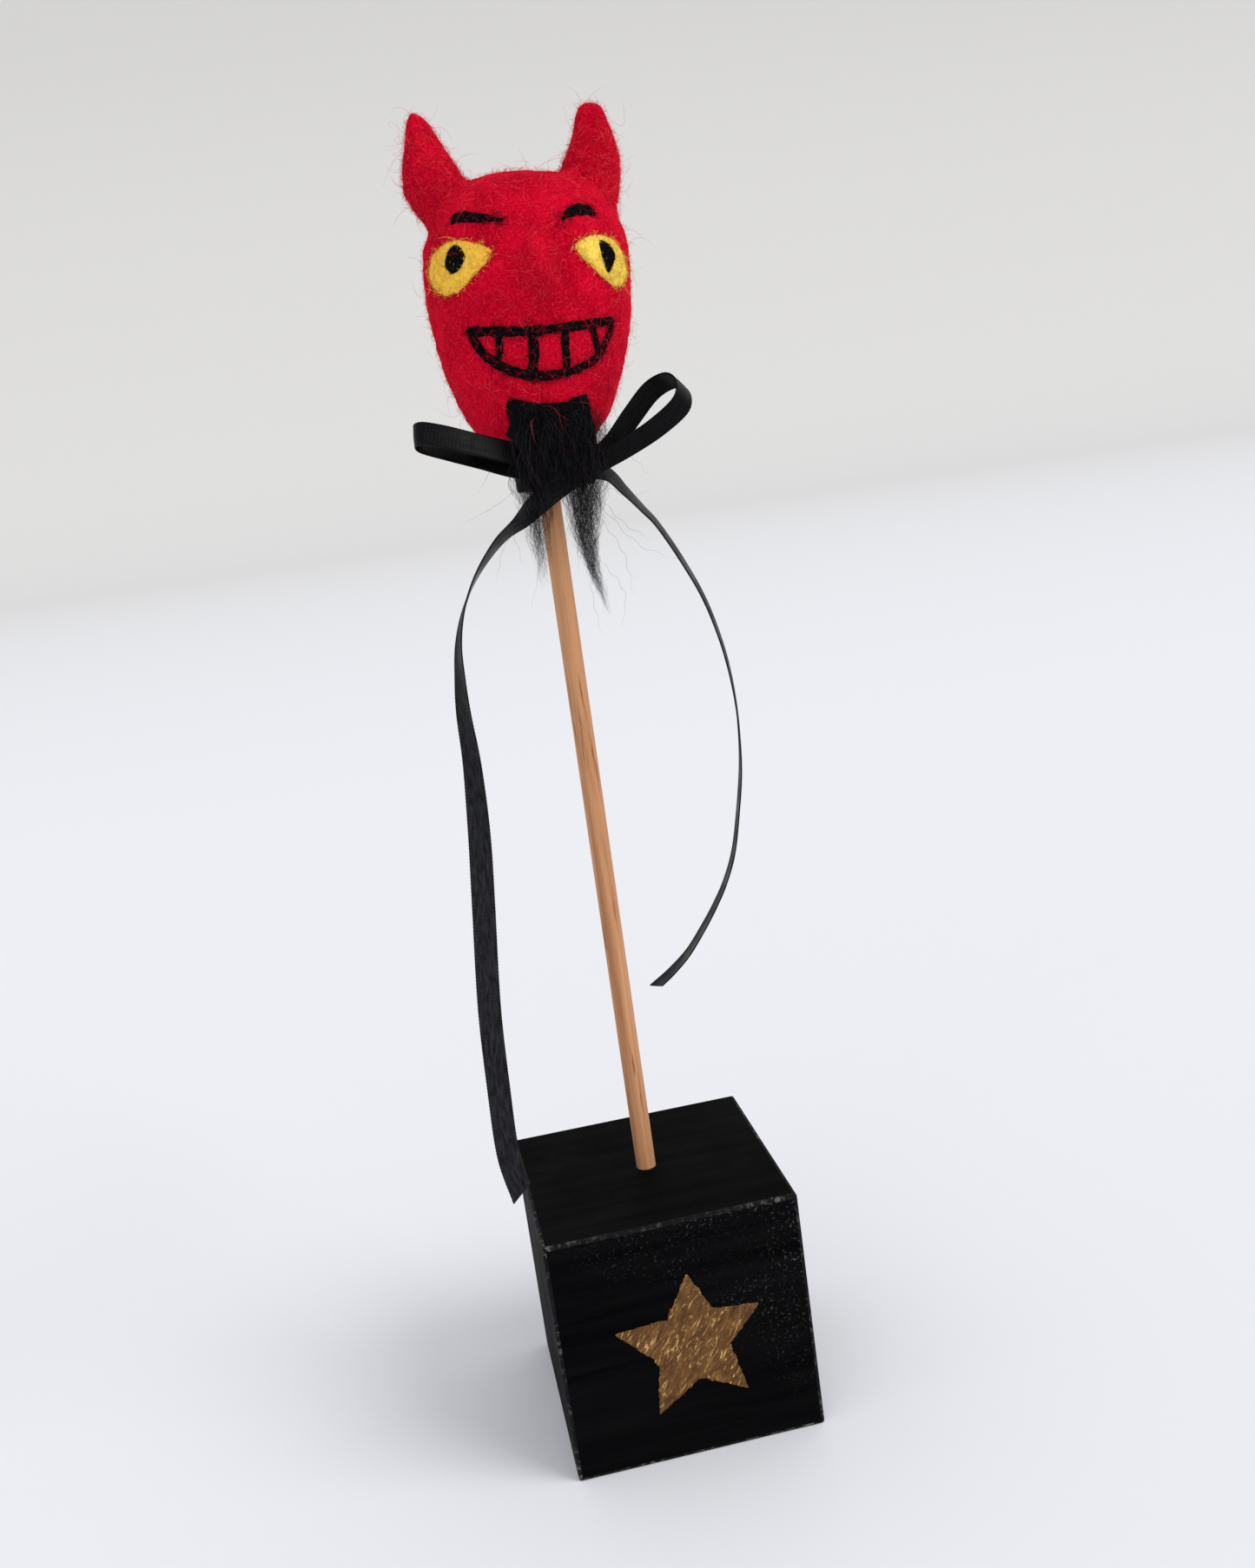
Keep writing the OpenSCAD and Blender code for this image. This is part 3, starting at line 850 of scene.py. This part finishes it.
# The black lines of the face, each with its width
LINES = {
    "brow_left": ([(-10.0, 28.3), (-8.8, 28.3), (-7, 27.9), (-3.5, 27.1)], 1.4),
    "brow_right": ([(4.1, 26.7), (5.5, 27.8), (7.4, 28.2), (9.0, 27.8)], 1.6),
    "mouth_upper": ([(-9.4, 14), (-5.1, 13.5), (-1, 13.2), (4.5, 13.5), (10.6, 14.3)], 1.3),
    "mouth_lower": (
        [
            (-8.9, 13.7), (-7.2, 10.8), (-4.4, 8.7), (-1.4, 7.7), (1.7, 7.6), (4.8, 8.2), (8, 9.9),
            (10.1, 13.8),
        ],
        1.3,
    ),
    "tooth_line_1": ([(-5.2, 13.5), (-5.3, 11.5), (-5.6, 9.4)], 1.05),
    "tooth_line_2": ([(-1, 13.3), (-0.9, 10.5), (-1.3, 7.6)], 1.4),
    "tooth_line_3": ([(3.4, 13.4), (3.3, 10.6), (3.5, 7.8)], 1.15),
    "tooth_line_4": ([(7.1, 13.9), (7.6, 11.6), (8.0, 9.6)], 1.1),
}
# How many steps a line takes to its full width from its first end and from its last
BLUNT = (2, 2)
TAPERS = {"brow_left": (1, 16), "brow_right": (12, 4)}
BEARD_EDGE = [
    (-4.7, 5.0), (-1.5, 4.3), (2.4, 4.1), (5.9, 4.9), (6.3, 1.6), (5.7, -1.0), (3, -1.7), (0, -1.2),
    (-4.8, 0.2), (-4.6, 2),
]


def joined_tree(surface, points, faces):
    """A search tree over a surface, given as points and faces, and another one on top of it."""
    start = len(surface[0])
    more = [tuple(start + v for v in f) for f in faces]
    return BVHTree.FromPolygons(np.concatenate([surface[0], points]).tolist(), surface[1] + more)


def make_head(reds):
    """The felt head. Gives back its surface, as points and faces, and a search tree over it."""
    pieces = split_head(melted_head())
    points = np.concatenate([piece[0] for piece in pieces.values()])
    faces, start = [], 0
    for spots, outer, _, _ in pieces.values():
        faces += [tuple(start + v for v in f) for f in outer]
        start += len(spots)
    tree = BVHTree.FromPolygons(points.tolist(), faces)
    outline = smooth(NOSE_EDGE, 6, closed=True)
    bump, bump_faces = pad(outline, onto(tree), lambda s: 0.22 * (1 - s**3) - 0.04)
    pieces["nose"] = (bump + rough(bump, 1.2, 4)[:, None] * 0.05, bump_faces, [], None)
    for seed, (name, (spots, outer, caps, normals)) in enumerate(pieces.items()):
        rng = np.random.default_rng(20 + seed)
        parts = Parts()
        parts.add(spots, outer + caps)
        mesh = mesh_of("work", spots, outer)
        # The hairs lean to the paler reds and the long strays take only the palest: partly the wool's own
        # tone, partly a painted glow of light through the fuzz.
        felt_over(parts, tree, mesh, HAIRS[name], rng, (1, 2, 2, 3, 3, 4, 4), (3, 3, 4))
        obj = parts.make(name, reds, "red_felt")
        if normals is not None:
            shade_across_cuts(obj, normals)
    return (points, faces), tree


def make_eye(side, surface, head_tree, rng, seed, felts):
    """An eye's pad of felt, with its own fibres and the head's red ones over its rim. Gives back its tree."""
    outline = smooth(EYES[side], 7, closed=True)
    outline = outline.mean(0) + (outline - outline.mean(0)) * EYE_SIZE[side]
    top, parts, mesh, tree = felt_pad(
        outline, head_tree, lambda s: 0.5 * (1 - s**3.5) - 0.04, 0.9, 60 + seed, 0.08
    )
    both = joined_tree(surface, *top)
    felt_over(parts, tree, mesh, HAIRS["eye"], rng, (1, 2, 2, 3), (2, 3), 1.8)
    rim, _ = onto(head_tree)(outline)
    frayed(parts, both, rim, tangents(rim), 0.9, rng, 7, (1, 2, 3), 0.45)
    frayed(parts, both, rim, tangents(rim), 1.2, rng, 8, (4, 5, 6), 0.6)
    parts.make(f"eye_{side}", felts[f"yellow_{side}"] + felts["red"][1:4], "yellow_felt")
    return tree


def make_face(surface, tree, felts):
    blacks = felts["black"][:3]
    for seed, side in enumerate(("left", "right")):
        rng = np.random.default_rng(40 + seed)
        eye_tree = make_eye(side, surface, tree, rng, seed, felts)
        make_pupil(side, eye_tree, blacks, rng)
    for seed, (name, (flat_line, width)) in enumerate(LINES.items()):
        rng = np.random.default_rng(60 + seed)
        parts = Parts()
        points, faces, spots, d = yarn(flat_line, width, TAPERS.get(name, BLUNT), onto(tree), seed)
        parts.add(points, faces)
        frayed(parts, tree, spots, d, width, rng, 20)
        frayed(parts, tree, spots, d, width * 1.1, rng, 2, (3, 4))
        parts.make(name, blacks + felts["red"][2:4], "black_felt")


def frayed(parts, tree, spots, d, width, rng, per_mm, shades=(1, 2), reach=1.0):
    """Loose hairs that run with a needled strand and stray off its edges."""
    count = int(length_of(spots) * per_mm)
    pick = rng.integers(0, len(spots), count)
    off = rng.normal(0, width * 0.27, (count, 3))
    heading = unit(d[pick] * rng.choice([-1, 1], count)[:, None] + rng.normal(0, 0.28, (count, 3)))
    length, lift = reach * rng.uniform(0.6, 1.9, count), reach * rng.uniform(0.1, 0.34, count)
    lines = lying(tree, spots[pick] + off, heading, length, lift, rng, 5, 0.35)
    parts.add_hairs(lines, rng.uniform(0.015, 0.03, count), rng, shades)


def make_pupil(side, eye_tree, blacks, rng):
    outline = smooth(PUPILS[side], 6, closed=True)
    _, parts, mesh, tree = felt_pad(outline, eye_tree, lambda s: 0.4 * (1 - s**5), 0.7, 70, 0.06, 0.3, 6)
    felt_over(parts, tree, mesh, HAIRS["pupil"], rng, (1, 2), (1, 2), 1.1)
    parts.make(f"pupil_{side}", blacks, "black_felt")


# ---------------------------------------------------------------- beard

# The shades of the beard's strands, of which the last is rare: a pale grey that is partly the wool's own
# lighter fibres and partly painted highlights on single strands
TUFT = (1, 1, 1, 2, 2, 3)
PATCH_HAIRS, CURTAIN_STRANDS = 1500, 395
LOCK_STRANDS = {"left": 400, "right": 620}
STRAND_POINTS_PER_MM = 2.3
# Each guide has rows of X, Y and height with the half-width along X and the half-depth along Y.
CURTAIN_GUIDES = [
    [
        (-2.6, -10.0, 153.5, 1.8, 0.5), (-2.9, -9.6, 150, 2.0, 0.8), (-2.9, -9.1, 146.5, 2.1, 0.9),
        (-2.8, -8.8, 143, 2.1, 0.8), (-3.2, -8.6, 139.5, 1.9, 0.7),
    ],
    [
        (0.6, -10.6, 153.8, 2.2, 0.5), (0.6, -10.0, 150, 2.4, 0.8), (0.7, -9.4, 146.5, 2.4, 0.9),
        (0.6, -9.0, 143, 2.2, 0.8), (0.6, -8.8, 140.3, 2.0, 0.7),
    ],
    [
        (4.4, -10.0, 153.5, 2.4, 0.5), (4.8, -9.7, 150, 2.6, 0.8), (4.9, -9.3, 146.5, 2.6, 0.9),
        (4.7, -8.9, 142.4, 2.3, 0.8), (4.4, -8.7, 139.5, 2.0, 0.7),
    ],
]
LEFT_LOCK_GUIDE = [
    (-2.7, -9.0, 148, 2.2, 0.6), (-3.0, -8.6, 144.5, 2.4, 0.8), (-3.0, -8.0, 141, 1.8, 0.8),
    (-3.1, -7.2, 136.5, 1.2, 0.7), (-3.1, -6.8, 133, 0.8, 0.5), (-3.6, -6.6, 129.6, 0.5, 0.4),
]
RIGHT_LOCK_GUIDE = [
    (4.0, -9.2, 148.5, 2.4, 0.7), (3.8, -8.9, 144.5, 2.7, 0.9), (3.5, -8.4, 140, 2.1, 0.9),
    (3.3, -7.8, 135.5, 1.35, 0.8), (3.8, -7.4, 131, 0.7, 0.6), (4.6, -7.2, 127.5, 0.4, 0.4),
    (5.1, -7.2, 124.6, 0.25, 0.3),
]
# Single hairs that fly off the beard: from, through and to
FLYAWAYS = [
    ((-3.5, -8.8, 145), (-8, -9.5, 142), (-13.5, -10, 140)),
    ((-3, -8.6, 143), (-6.5, -9, 139), (-6, -9.2, 133)),
    ((-2.5, -8.8, 142), (-3.5, -8.5, 134), (-5.8, -8.2, 127)),
    ((5, -8.8, 142), (8.5, -9, 137), (12.3, -9.5, 134)),
    ((6, -8.8, 143), (9.5, -9.3, 140.5), (13, -9.5, 141)),
    ((5.5, -8.2, 138), (8, -8.6, 133), (8.6, -8.8, 127)), ((4.5, -8, 134), (3, -8, 129), (3.6, -7.6, 122)),
    ((5, -7.8, 132), (7.5, -8, 127.5), (6.5, -8, 122.5)),
    ((0.5, -9.2, 143), (0.8, -9, 138), (-0.5, -8.8, 133.5)),
    ((2, -9.2, 143), (2.4, -9, 137), (1.4, -8.6, 131)),
    ((6.8, -9.6, 149), (10, -10.5, 146.5), (12.5, -10.8, 143)),
    ((-4.8, -9.6, 149), (-8, -10.4, 147), (-11, -10.6, 143.5)),
    ((5, -8.6, 141), (10, -9, 134), (15.5, -9, 131)),
    ((-3.8, -8.2, 139), (-8, -8.8, 136.5), (-10, -9, 131.5)),
]


def crimped(guide, count, rng, crimp, wave, shortest):
    """Wavy wool strands that follow a guide within its width, the shortest for that share of its length."""
    line = spaced(smooth(guide, 12), 80)
    total = length_of(line[:, :3])
    n = int(total * 0.85 * STRAND_POINTS_PER_MM)
    t0 = rng.uniform(0, 0.28, count)
    t1 = shortest + (1.0 - shortest) * rng.uniform(0, 1, count) ** 1.3
    t = t0[:, None] + (t1 - t0)[:, None] * np.linspace(0, 1, n)[None]
    at = [np.interp(t, np.linspace(0, 1, len(line)), line[:, k]) for k in range(5)]
    turn, spread = rng.uniform(0, 2 * math.pi, count), rng.uniform(0, 1.12, count) ** 0.6
    across, deep = (spread * np.cos(turn))[:, None], (spread * np.sin(turn))[:, None]
    wander = np.sin(t * rng.uniform(2, 9, (count, 1)) + rng.uniform(0, 6.3, (count, 1))) * 0.4
    s = t * total
    size = crimp * rng.uniform(0.6, 1.6, (count, 1)) ** 2
    pitch = wave * rng.uniform(0.75, 1.35, (count, 1))
    phase = rng.uniform(0, 6.3, (count, 1))
    turns = 2 * math.pi * s / pitch + phase
    x = at[0] + (across + wander) * at[3] + size * (np.sin(turns) + 0.8 * np.sin(0.43 * turns + 3 * phase))
    y = at[1] + deep * at[4] + 0.7 * size * np.cos(0.87 * turns)
    z = at[2] + 0.6 * size * np.sin(0.71 * turns + 2 * phase)
    return np.stack([x, y, z], axis=2)


def mass(guide, seed, inset, until):
    """The dark bulk inside a lock, as far along as until, which its strands hide."""
    line = spaced(smooth(guide, 12), 60)[: int(60 * until)]
    line[:, 3:] *= np.sqrt(np.clip(np.arange(len(line))[::-1] / 12, 0.02, 1))[:, None]
    angle = around(16)
    x = line[:, 0:1] + inset * line[:, 3:4] * np.cos(angle)
    y = line[:, 1:2] + inset * line[:, 4:5] * np.sin(angle)
    z = np.repeat(line[:, 2:3], 16, axis=1)
    points = np.stack([x, y, z], axis=2).reshape(-1, 3)
    points = points + rough(points, 0.9, seed)[:, None] * 0.18
    return points, tube_faces(len(line), 16)


def make_beard(tree, blacks):
    rng = np.random.default_rng(80)
    make_patch(tree, blacks, rng)
    curtain = Parts()
    for i, guide in enumerate(CURTAIN_GUIDES):
        curtain.add(*mass(guide, 90 + i, 0.55, 0.5 if i == 0 else 0.62))
        strands = crimped(guide, CURTAIN_STRANDS, rng, 0.085, 2.2, 0.35)
        curtain.add_hairs(strands, rng.uniform(0.01, 0.024, CURTAIN_STRANDS), rng, TUFT)
    curtain.make("beard_curtain", blacks, "beard_wool")
    for side, guide in (("left", LEFT_LOCK_GUIDE), ("right", RIGHT_LOCK_GUIDE)):
        make_lock(side, guide, blacks, rng)


def make_patch(tree, blacks, rng):
    """The wool felted to the chin, from which the beard hangs."""
    outline = smooth(BEARD_EDGE, 5, closed=True)
    _, parts, mesh, patch_tree = felt_pad(outline, tree, lambda s: 0.95 * (1 - s**6) + 0.05, 0.9, 80, 0.15)
    start, _ = scattered(mesh, PATCH_HAIRS, rng)
    heading = unit(np.array([0.0, 0, -1]) + rng.normal(0, 0.4, start.shape))
    length, lift = rng.uniform(1.2, 3.5, PATCH_HAIRS), rng.uniform(0.05, 0.4, PATCH_HAIRS)
    lines = lying(patch_tree, start, heading, length, lift, rng, 6)
    parts.add_hairs(lines, rng.uniform(0.012, 0.026, PATCH_HAIRS), rng, TUFT)
    parts.make("beard_patch", blacks, "beard_wool")


def make_lock(side, guide, blacks, rng):
    """A long pointed lock, with the single hairs that fly off on its side."""
    lock, count = Parts(), LOCK_STRANDS[side]
    lock.add(*mass(guide, 95, 0.4, 0.3))
    strands = crimped(guide, count, rng, 0.14, 2.3, 0.3)
    lock.add_hairs(strands, rng.uniform(0.009, 0.019, count), rng, TUFT)
    wave = np.sin(np.linspace(0, 26, 40))[:, None] * np.array([[0.16, 0.08, 0.1]])
    for path in FLYAWAYS:
        end = path[2][0]
        if end < 0 if side == "left" else end > -0.1:
            lock.add_hairs((spaced(smooth(path, 12), 40) + wave)[None], 0.018, rng, TUFT)
    lock.make(f"beard_lock_{side}", blacks, "beard_wool")


# ---------------------------------------------------------------- stand and stick

# The side of the block, where its front is, and the radius of its socket and of the stick
BLOCK_SIDE, BLOCK_FRONT = 38.0, -19.0
BORE_R, STICK_R = 1.55, 1.5
# The star's outline on the block's front, as X and height
STAR = [
    (1.1, 29.5), (4.5, 23.0), (11.4, 22.4), (6.2, 16.9), (8.0, 8.9), (1.1, 12.4), (-5.8, 7.8), (-4.8, 16.2),
    (-10.7, 22.4), (-2.6, 22.9),
]


def make_block(paint, edge):
    """The cube, hand-sanded so that its corners are a little round, with the socket for the stick."""
    cube = bmesh.new()
    bmesh.ops.create_cube(
        cube, size=BLOCK_SIDE * MM, matrix=Matrix.Translation((0, 0, BLOCK_SIDE / 2 * MM))
    )
    bmesh.ops.bevel(
        cube, geom=cube.edges, offset=0.55 * MM, segments=4, profile=0.6, affect="EDGES", clamp_overlap=True
    )
    work = temporary(cube, "block_work")
    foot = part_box("stick")[0].z - 0.3 * MM
    bore = bmesh.new()
    bmesh.ops.create_cone(
        bore, cap_ends=True, segments=64, radius1=BORE_R * MM, radius2=BORE_R * MM, depth=0.04,
        matrix=Matrix.Translation((0, 0, foot + 0.02)),
    )
    drill = temporary(bore, "drill")
    cut = work.modifiers.new("socket", "BOOLEAN")
    cut.operation, cut.solver, cut.object = "DIFFERENCE", "EXACT", drill
    done = modified(work)
    for o in (work, drill):
        bpy.data.objects.remove(o)
    points = np.array([v.co for v in done.vertices]) / MM
    faces = [tuple(f.vertices) for f in done.polygons]
    obj = new_piece("block", points, faces, [paint, edge], STAND, smooth_faces=False)
    for f in obj.data.polygons:
        straight = max(abs(a) for a in f.normal)
        near_hole = f.center.xy.length < 2 * MM
        f.material_index = 1 if straight < 0.999 and not near_hole else 0
        f.use_smooth = straight < 0.999


def make_star(leaf):
    """The leaf, as it sits on the front of the block, with rough edges and small wrinkles."""
    line = np.array(STAR + STAR[:1], float)
    edge = []
    for a, b in zip(line[:-1], line[1:], strict=True):
        edge += [a + (b - a) * t for t in np.arange(0, 1, 0.03)]
    edge = np.array(edge)
    spot = np.stack([edge[:, 0], np.zeros(len(edge)), edge[:, 1]], axis=1)
    for _ in range(5):
        edge = (np.roll(edge, 1, axis=0) + edge + np.roll(edge, -1, axis=0)) / 3
    jitter = 0.34 * rough(spot, 1.3, 7) + 0.3 * rough(spot, 0.5, 8)
    away = unit(edge - edge.mean(0))
    edge = edge + away * jitter[:, None]

    def place(flat):
        spots = np.stack([flat[:, 0], np.full(len(flat), BLOCK_FRONT), flat[:, 1]], axis=1)
        return spots, np.tile((0.0, -1.0, 0.0), (len(flat), 1))

    points, faces = pad(edge, place, lambda s: 0.09, 0.02, 26)
    front = points[:, 1] < BLOCK_FRONT - 0.02
    wrinkles = 0.05 * rough(points, 1.1, 9) + 0.03 * rough(points * (1, 1, 0.4), 0.5, 10)
    points[:, 1] -= np.where(front, wrinkles + 0.03, 0)
    new_piece("gold_star", points, faces, [leaf], STAND)


def make_stick(wood):
    """The dowel, a shade out of round, with lightly broken ends."""
    low, high = (corner.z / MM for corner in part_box("stick"))
    between = np.arange(low + 1, high - 1, 1.5)
    heights = np.concatenate([[low, low, low + 0.15], between, [high - 0.15, high, high]])
    size = np.full(len(heights), STICK_R)
    size[[0, -1]], size[[1, -2]] = 0.05, STICK_R - 0.15
    angle = around(40)
    x = size[:, None] * np.cos(angle)
    y = size[:, None] * np.sin(angle)
    z = np.repeat(heights[:, None], 40, axis=1)
    points = np.stack([x, y, z], axis=2).reshape(-1, 3)
    flutes = 1 + 0.008 * rough(points * (1, 1, 0.05), 0.5, 12)
    points[:, :2] *= flutes[:, None]
    new_piece("stick", points, tube_faces(len(heights), 40), [wood], DOWEL)


# ---------------------------------------------------------------- studio


def make_backdrop():
    """A pale table that runs back and sweeps up into a wall, its colour painted slightly darker towards the
    back as painted shade, in metres.
    """
    s = Shader("backdrop_paper", (0.8, 0.8, 0.79), roughness=0.9, specular_ior_level=0.1)
    # The paper is painted darker with distance towards the back and up the wall: painted shade.
    back = s.span(s.axes()[1], 0.5, 5.6)
    s.colour(s.ramp(back, [(0.0, (0.80, 0.80, 0.82)), (1.0, (0.60, 0.59, 0.565))]))
    profile = [(-3.0, 0), (4.0, 0)]
    profile += [(4 + 2 * math.sin(a), 2 - 2 * math.cos(a)) for a in np.linspace(0.1, math.pi / 2, 14)]
    profile += [(6.0, 7.0)]
    points = [(x, y, z) for y, z in profile for x in (-8.0, 8.0)]
    faces = [(2 * i, 2 * i + 1, 2 * i + 3, 2 * i + 2) for i in range(len(profile) - 1)]
    mesh = bpy.data.meshes.new("backdrop")
    mesh.from_pydata(points, [], faces)
    mesh.polygons.foreach_set("use_smooth", [True] * len(faces))
    mesh.materials.append(s.material)
    linked("backdrop", mesh)


def make_daylight():
    """Soft daylight from the right, with a weak light to fill the shadows."""
    world = bpy.data.worlds.new("daylight")
    world.use_nodes = True
    sky = world.node_tree.nodes["Background"].inputs
    sky["Color"].default_value = (0.93, 0.95, 1.0, 1)
    sky["Strength"].default_value = 0.78
    bpy.context.scene.world = world
    for name, strength, angle, turn in (("window", 1.5, 35, (52, 0, 55)), ("fill", 0.5, 60, (70, 0, -20))):
        lamp = bpy.data.lights.new(name, "SUN")
        lamp.energy, lamp.angle = strength, math.radians(angle)
        linked(name, lamp).rotation_euler = [math.radians(t) for t in turn]
    bpy.context.scene.view_settings.view_transform = "Standard"


def wools():
    """Each colour's felt, with its hairs from dark to pale after it."""
    # The palest red hair shade is partly the wool's own tone and partly a painted glow of light through the
    # fuzz.
    reds = [(0.38, 0.0002, 0.010), (0.56, 0.001, 0.018), (0.74, 0.008, 0.032), (0.95, 0.07, 0.07)]
    golds = [(0.84, 0.48, 0.04), (0.94, 0.60, 0.08), (0.98, 0.72, 0.16)]
    lemons = [(0.82, 0.55, 0.05), (0.93, 0.68, 0.10), (0.98, 0.80, 0.22)]
    # The last black hair shade is a lighter grey: partly lighter fibres, partly painted highlights on the
    # beard's strands.
    blacks = [(0.003, 0.003, 0.0035), (0.014, 0.012, 0.014), (0.05, 0.042, 0.046)]
    felts = {
        "red": felt("red_felt", (0.32, 0.0001, 0.008), (0.52, 0.0008, 0.016), (0.76, 0.010, 0.04)),
        "yellow_left": felt("yellow_felt_left", (0.80, 0.44, 0.03), (0.92, 0.56, 0.055), (0.97, 0.68, 0.13)),
        "yellow_right": felt("yellow_felt_right", (0.80, 0.52, 0.05), (0.92, 0.66, 0.09), (0.98, 0.78, 0.2)),
        "black": felt("black_felt", (0.0015, 0.0015, 0.002), blacks[0], (0.010, 0.009, 0.011), 0.02),
    }
    hairs = {
        "red": fibre_shades("red_wool", reds),
        "yellow_left": fibre_shades("gold_wool", golds),
        "yellow_right": fibre_shades("lemon_wool", lemons),
        "black": fibre_shades("black_wool", blacks, 0.02),
    }
    return {name: [felts[name], *hairs[name]] for name in felts}


def main():
    make_camera()
    # The tails' satin is painted lighter and the bow's darker: painted light and shade, as two copies of one
    # material.
    make_tails(satin_ribbon("satin_painted_lit", 4.5))
    make_bow(satin_ribbon("satin_painted_dark", 0.8))
    felts = wools()
    surface, tree = make_head(felts["red"])
    make_face(surface, tree, felts)
    make_beard(tree, felts["black"])
    make_block(block_paint(), block_edge())
    make_star(gold_leaf())
    make_stick(dowel_wood())
    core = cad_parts["head_core"]
    core.data.materials.clear()
    core.data.materials.append(core_wool())
    make_backdrop()
    make_daylight()


main()
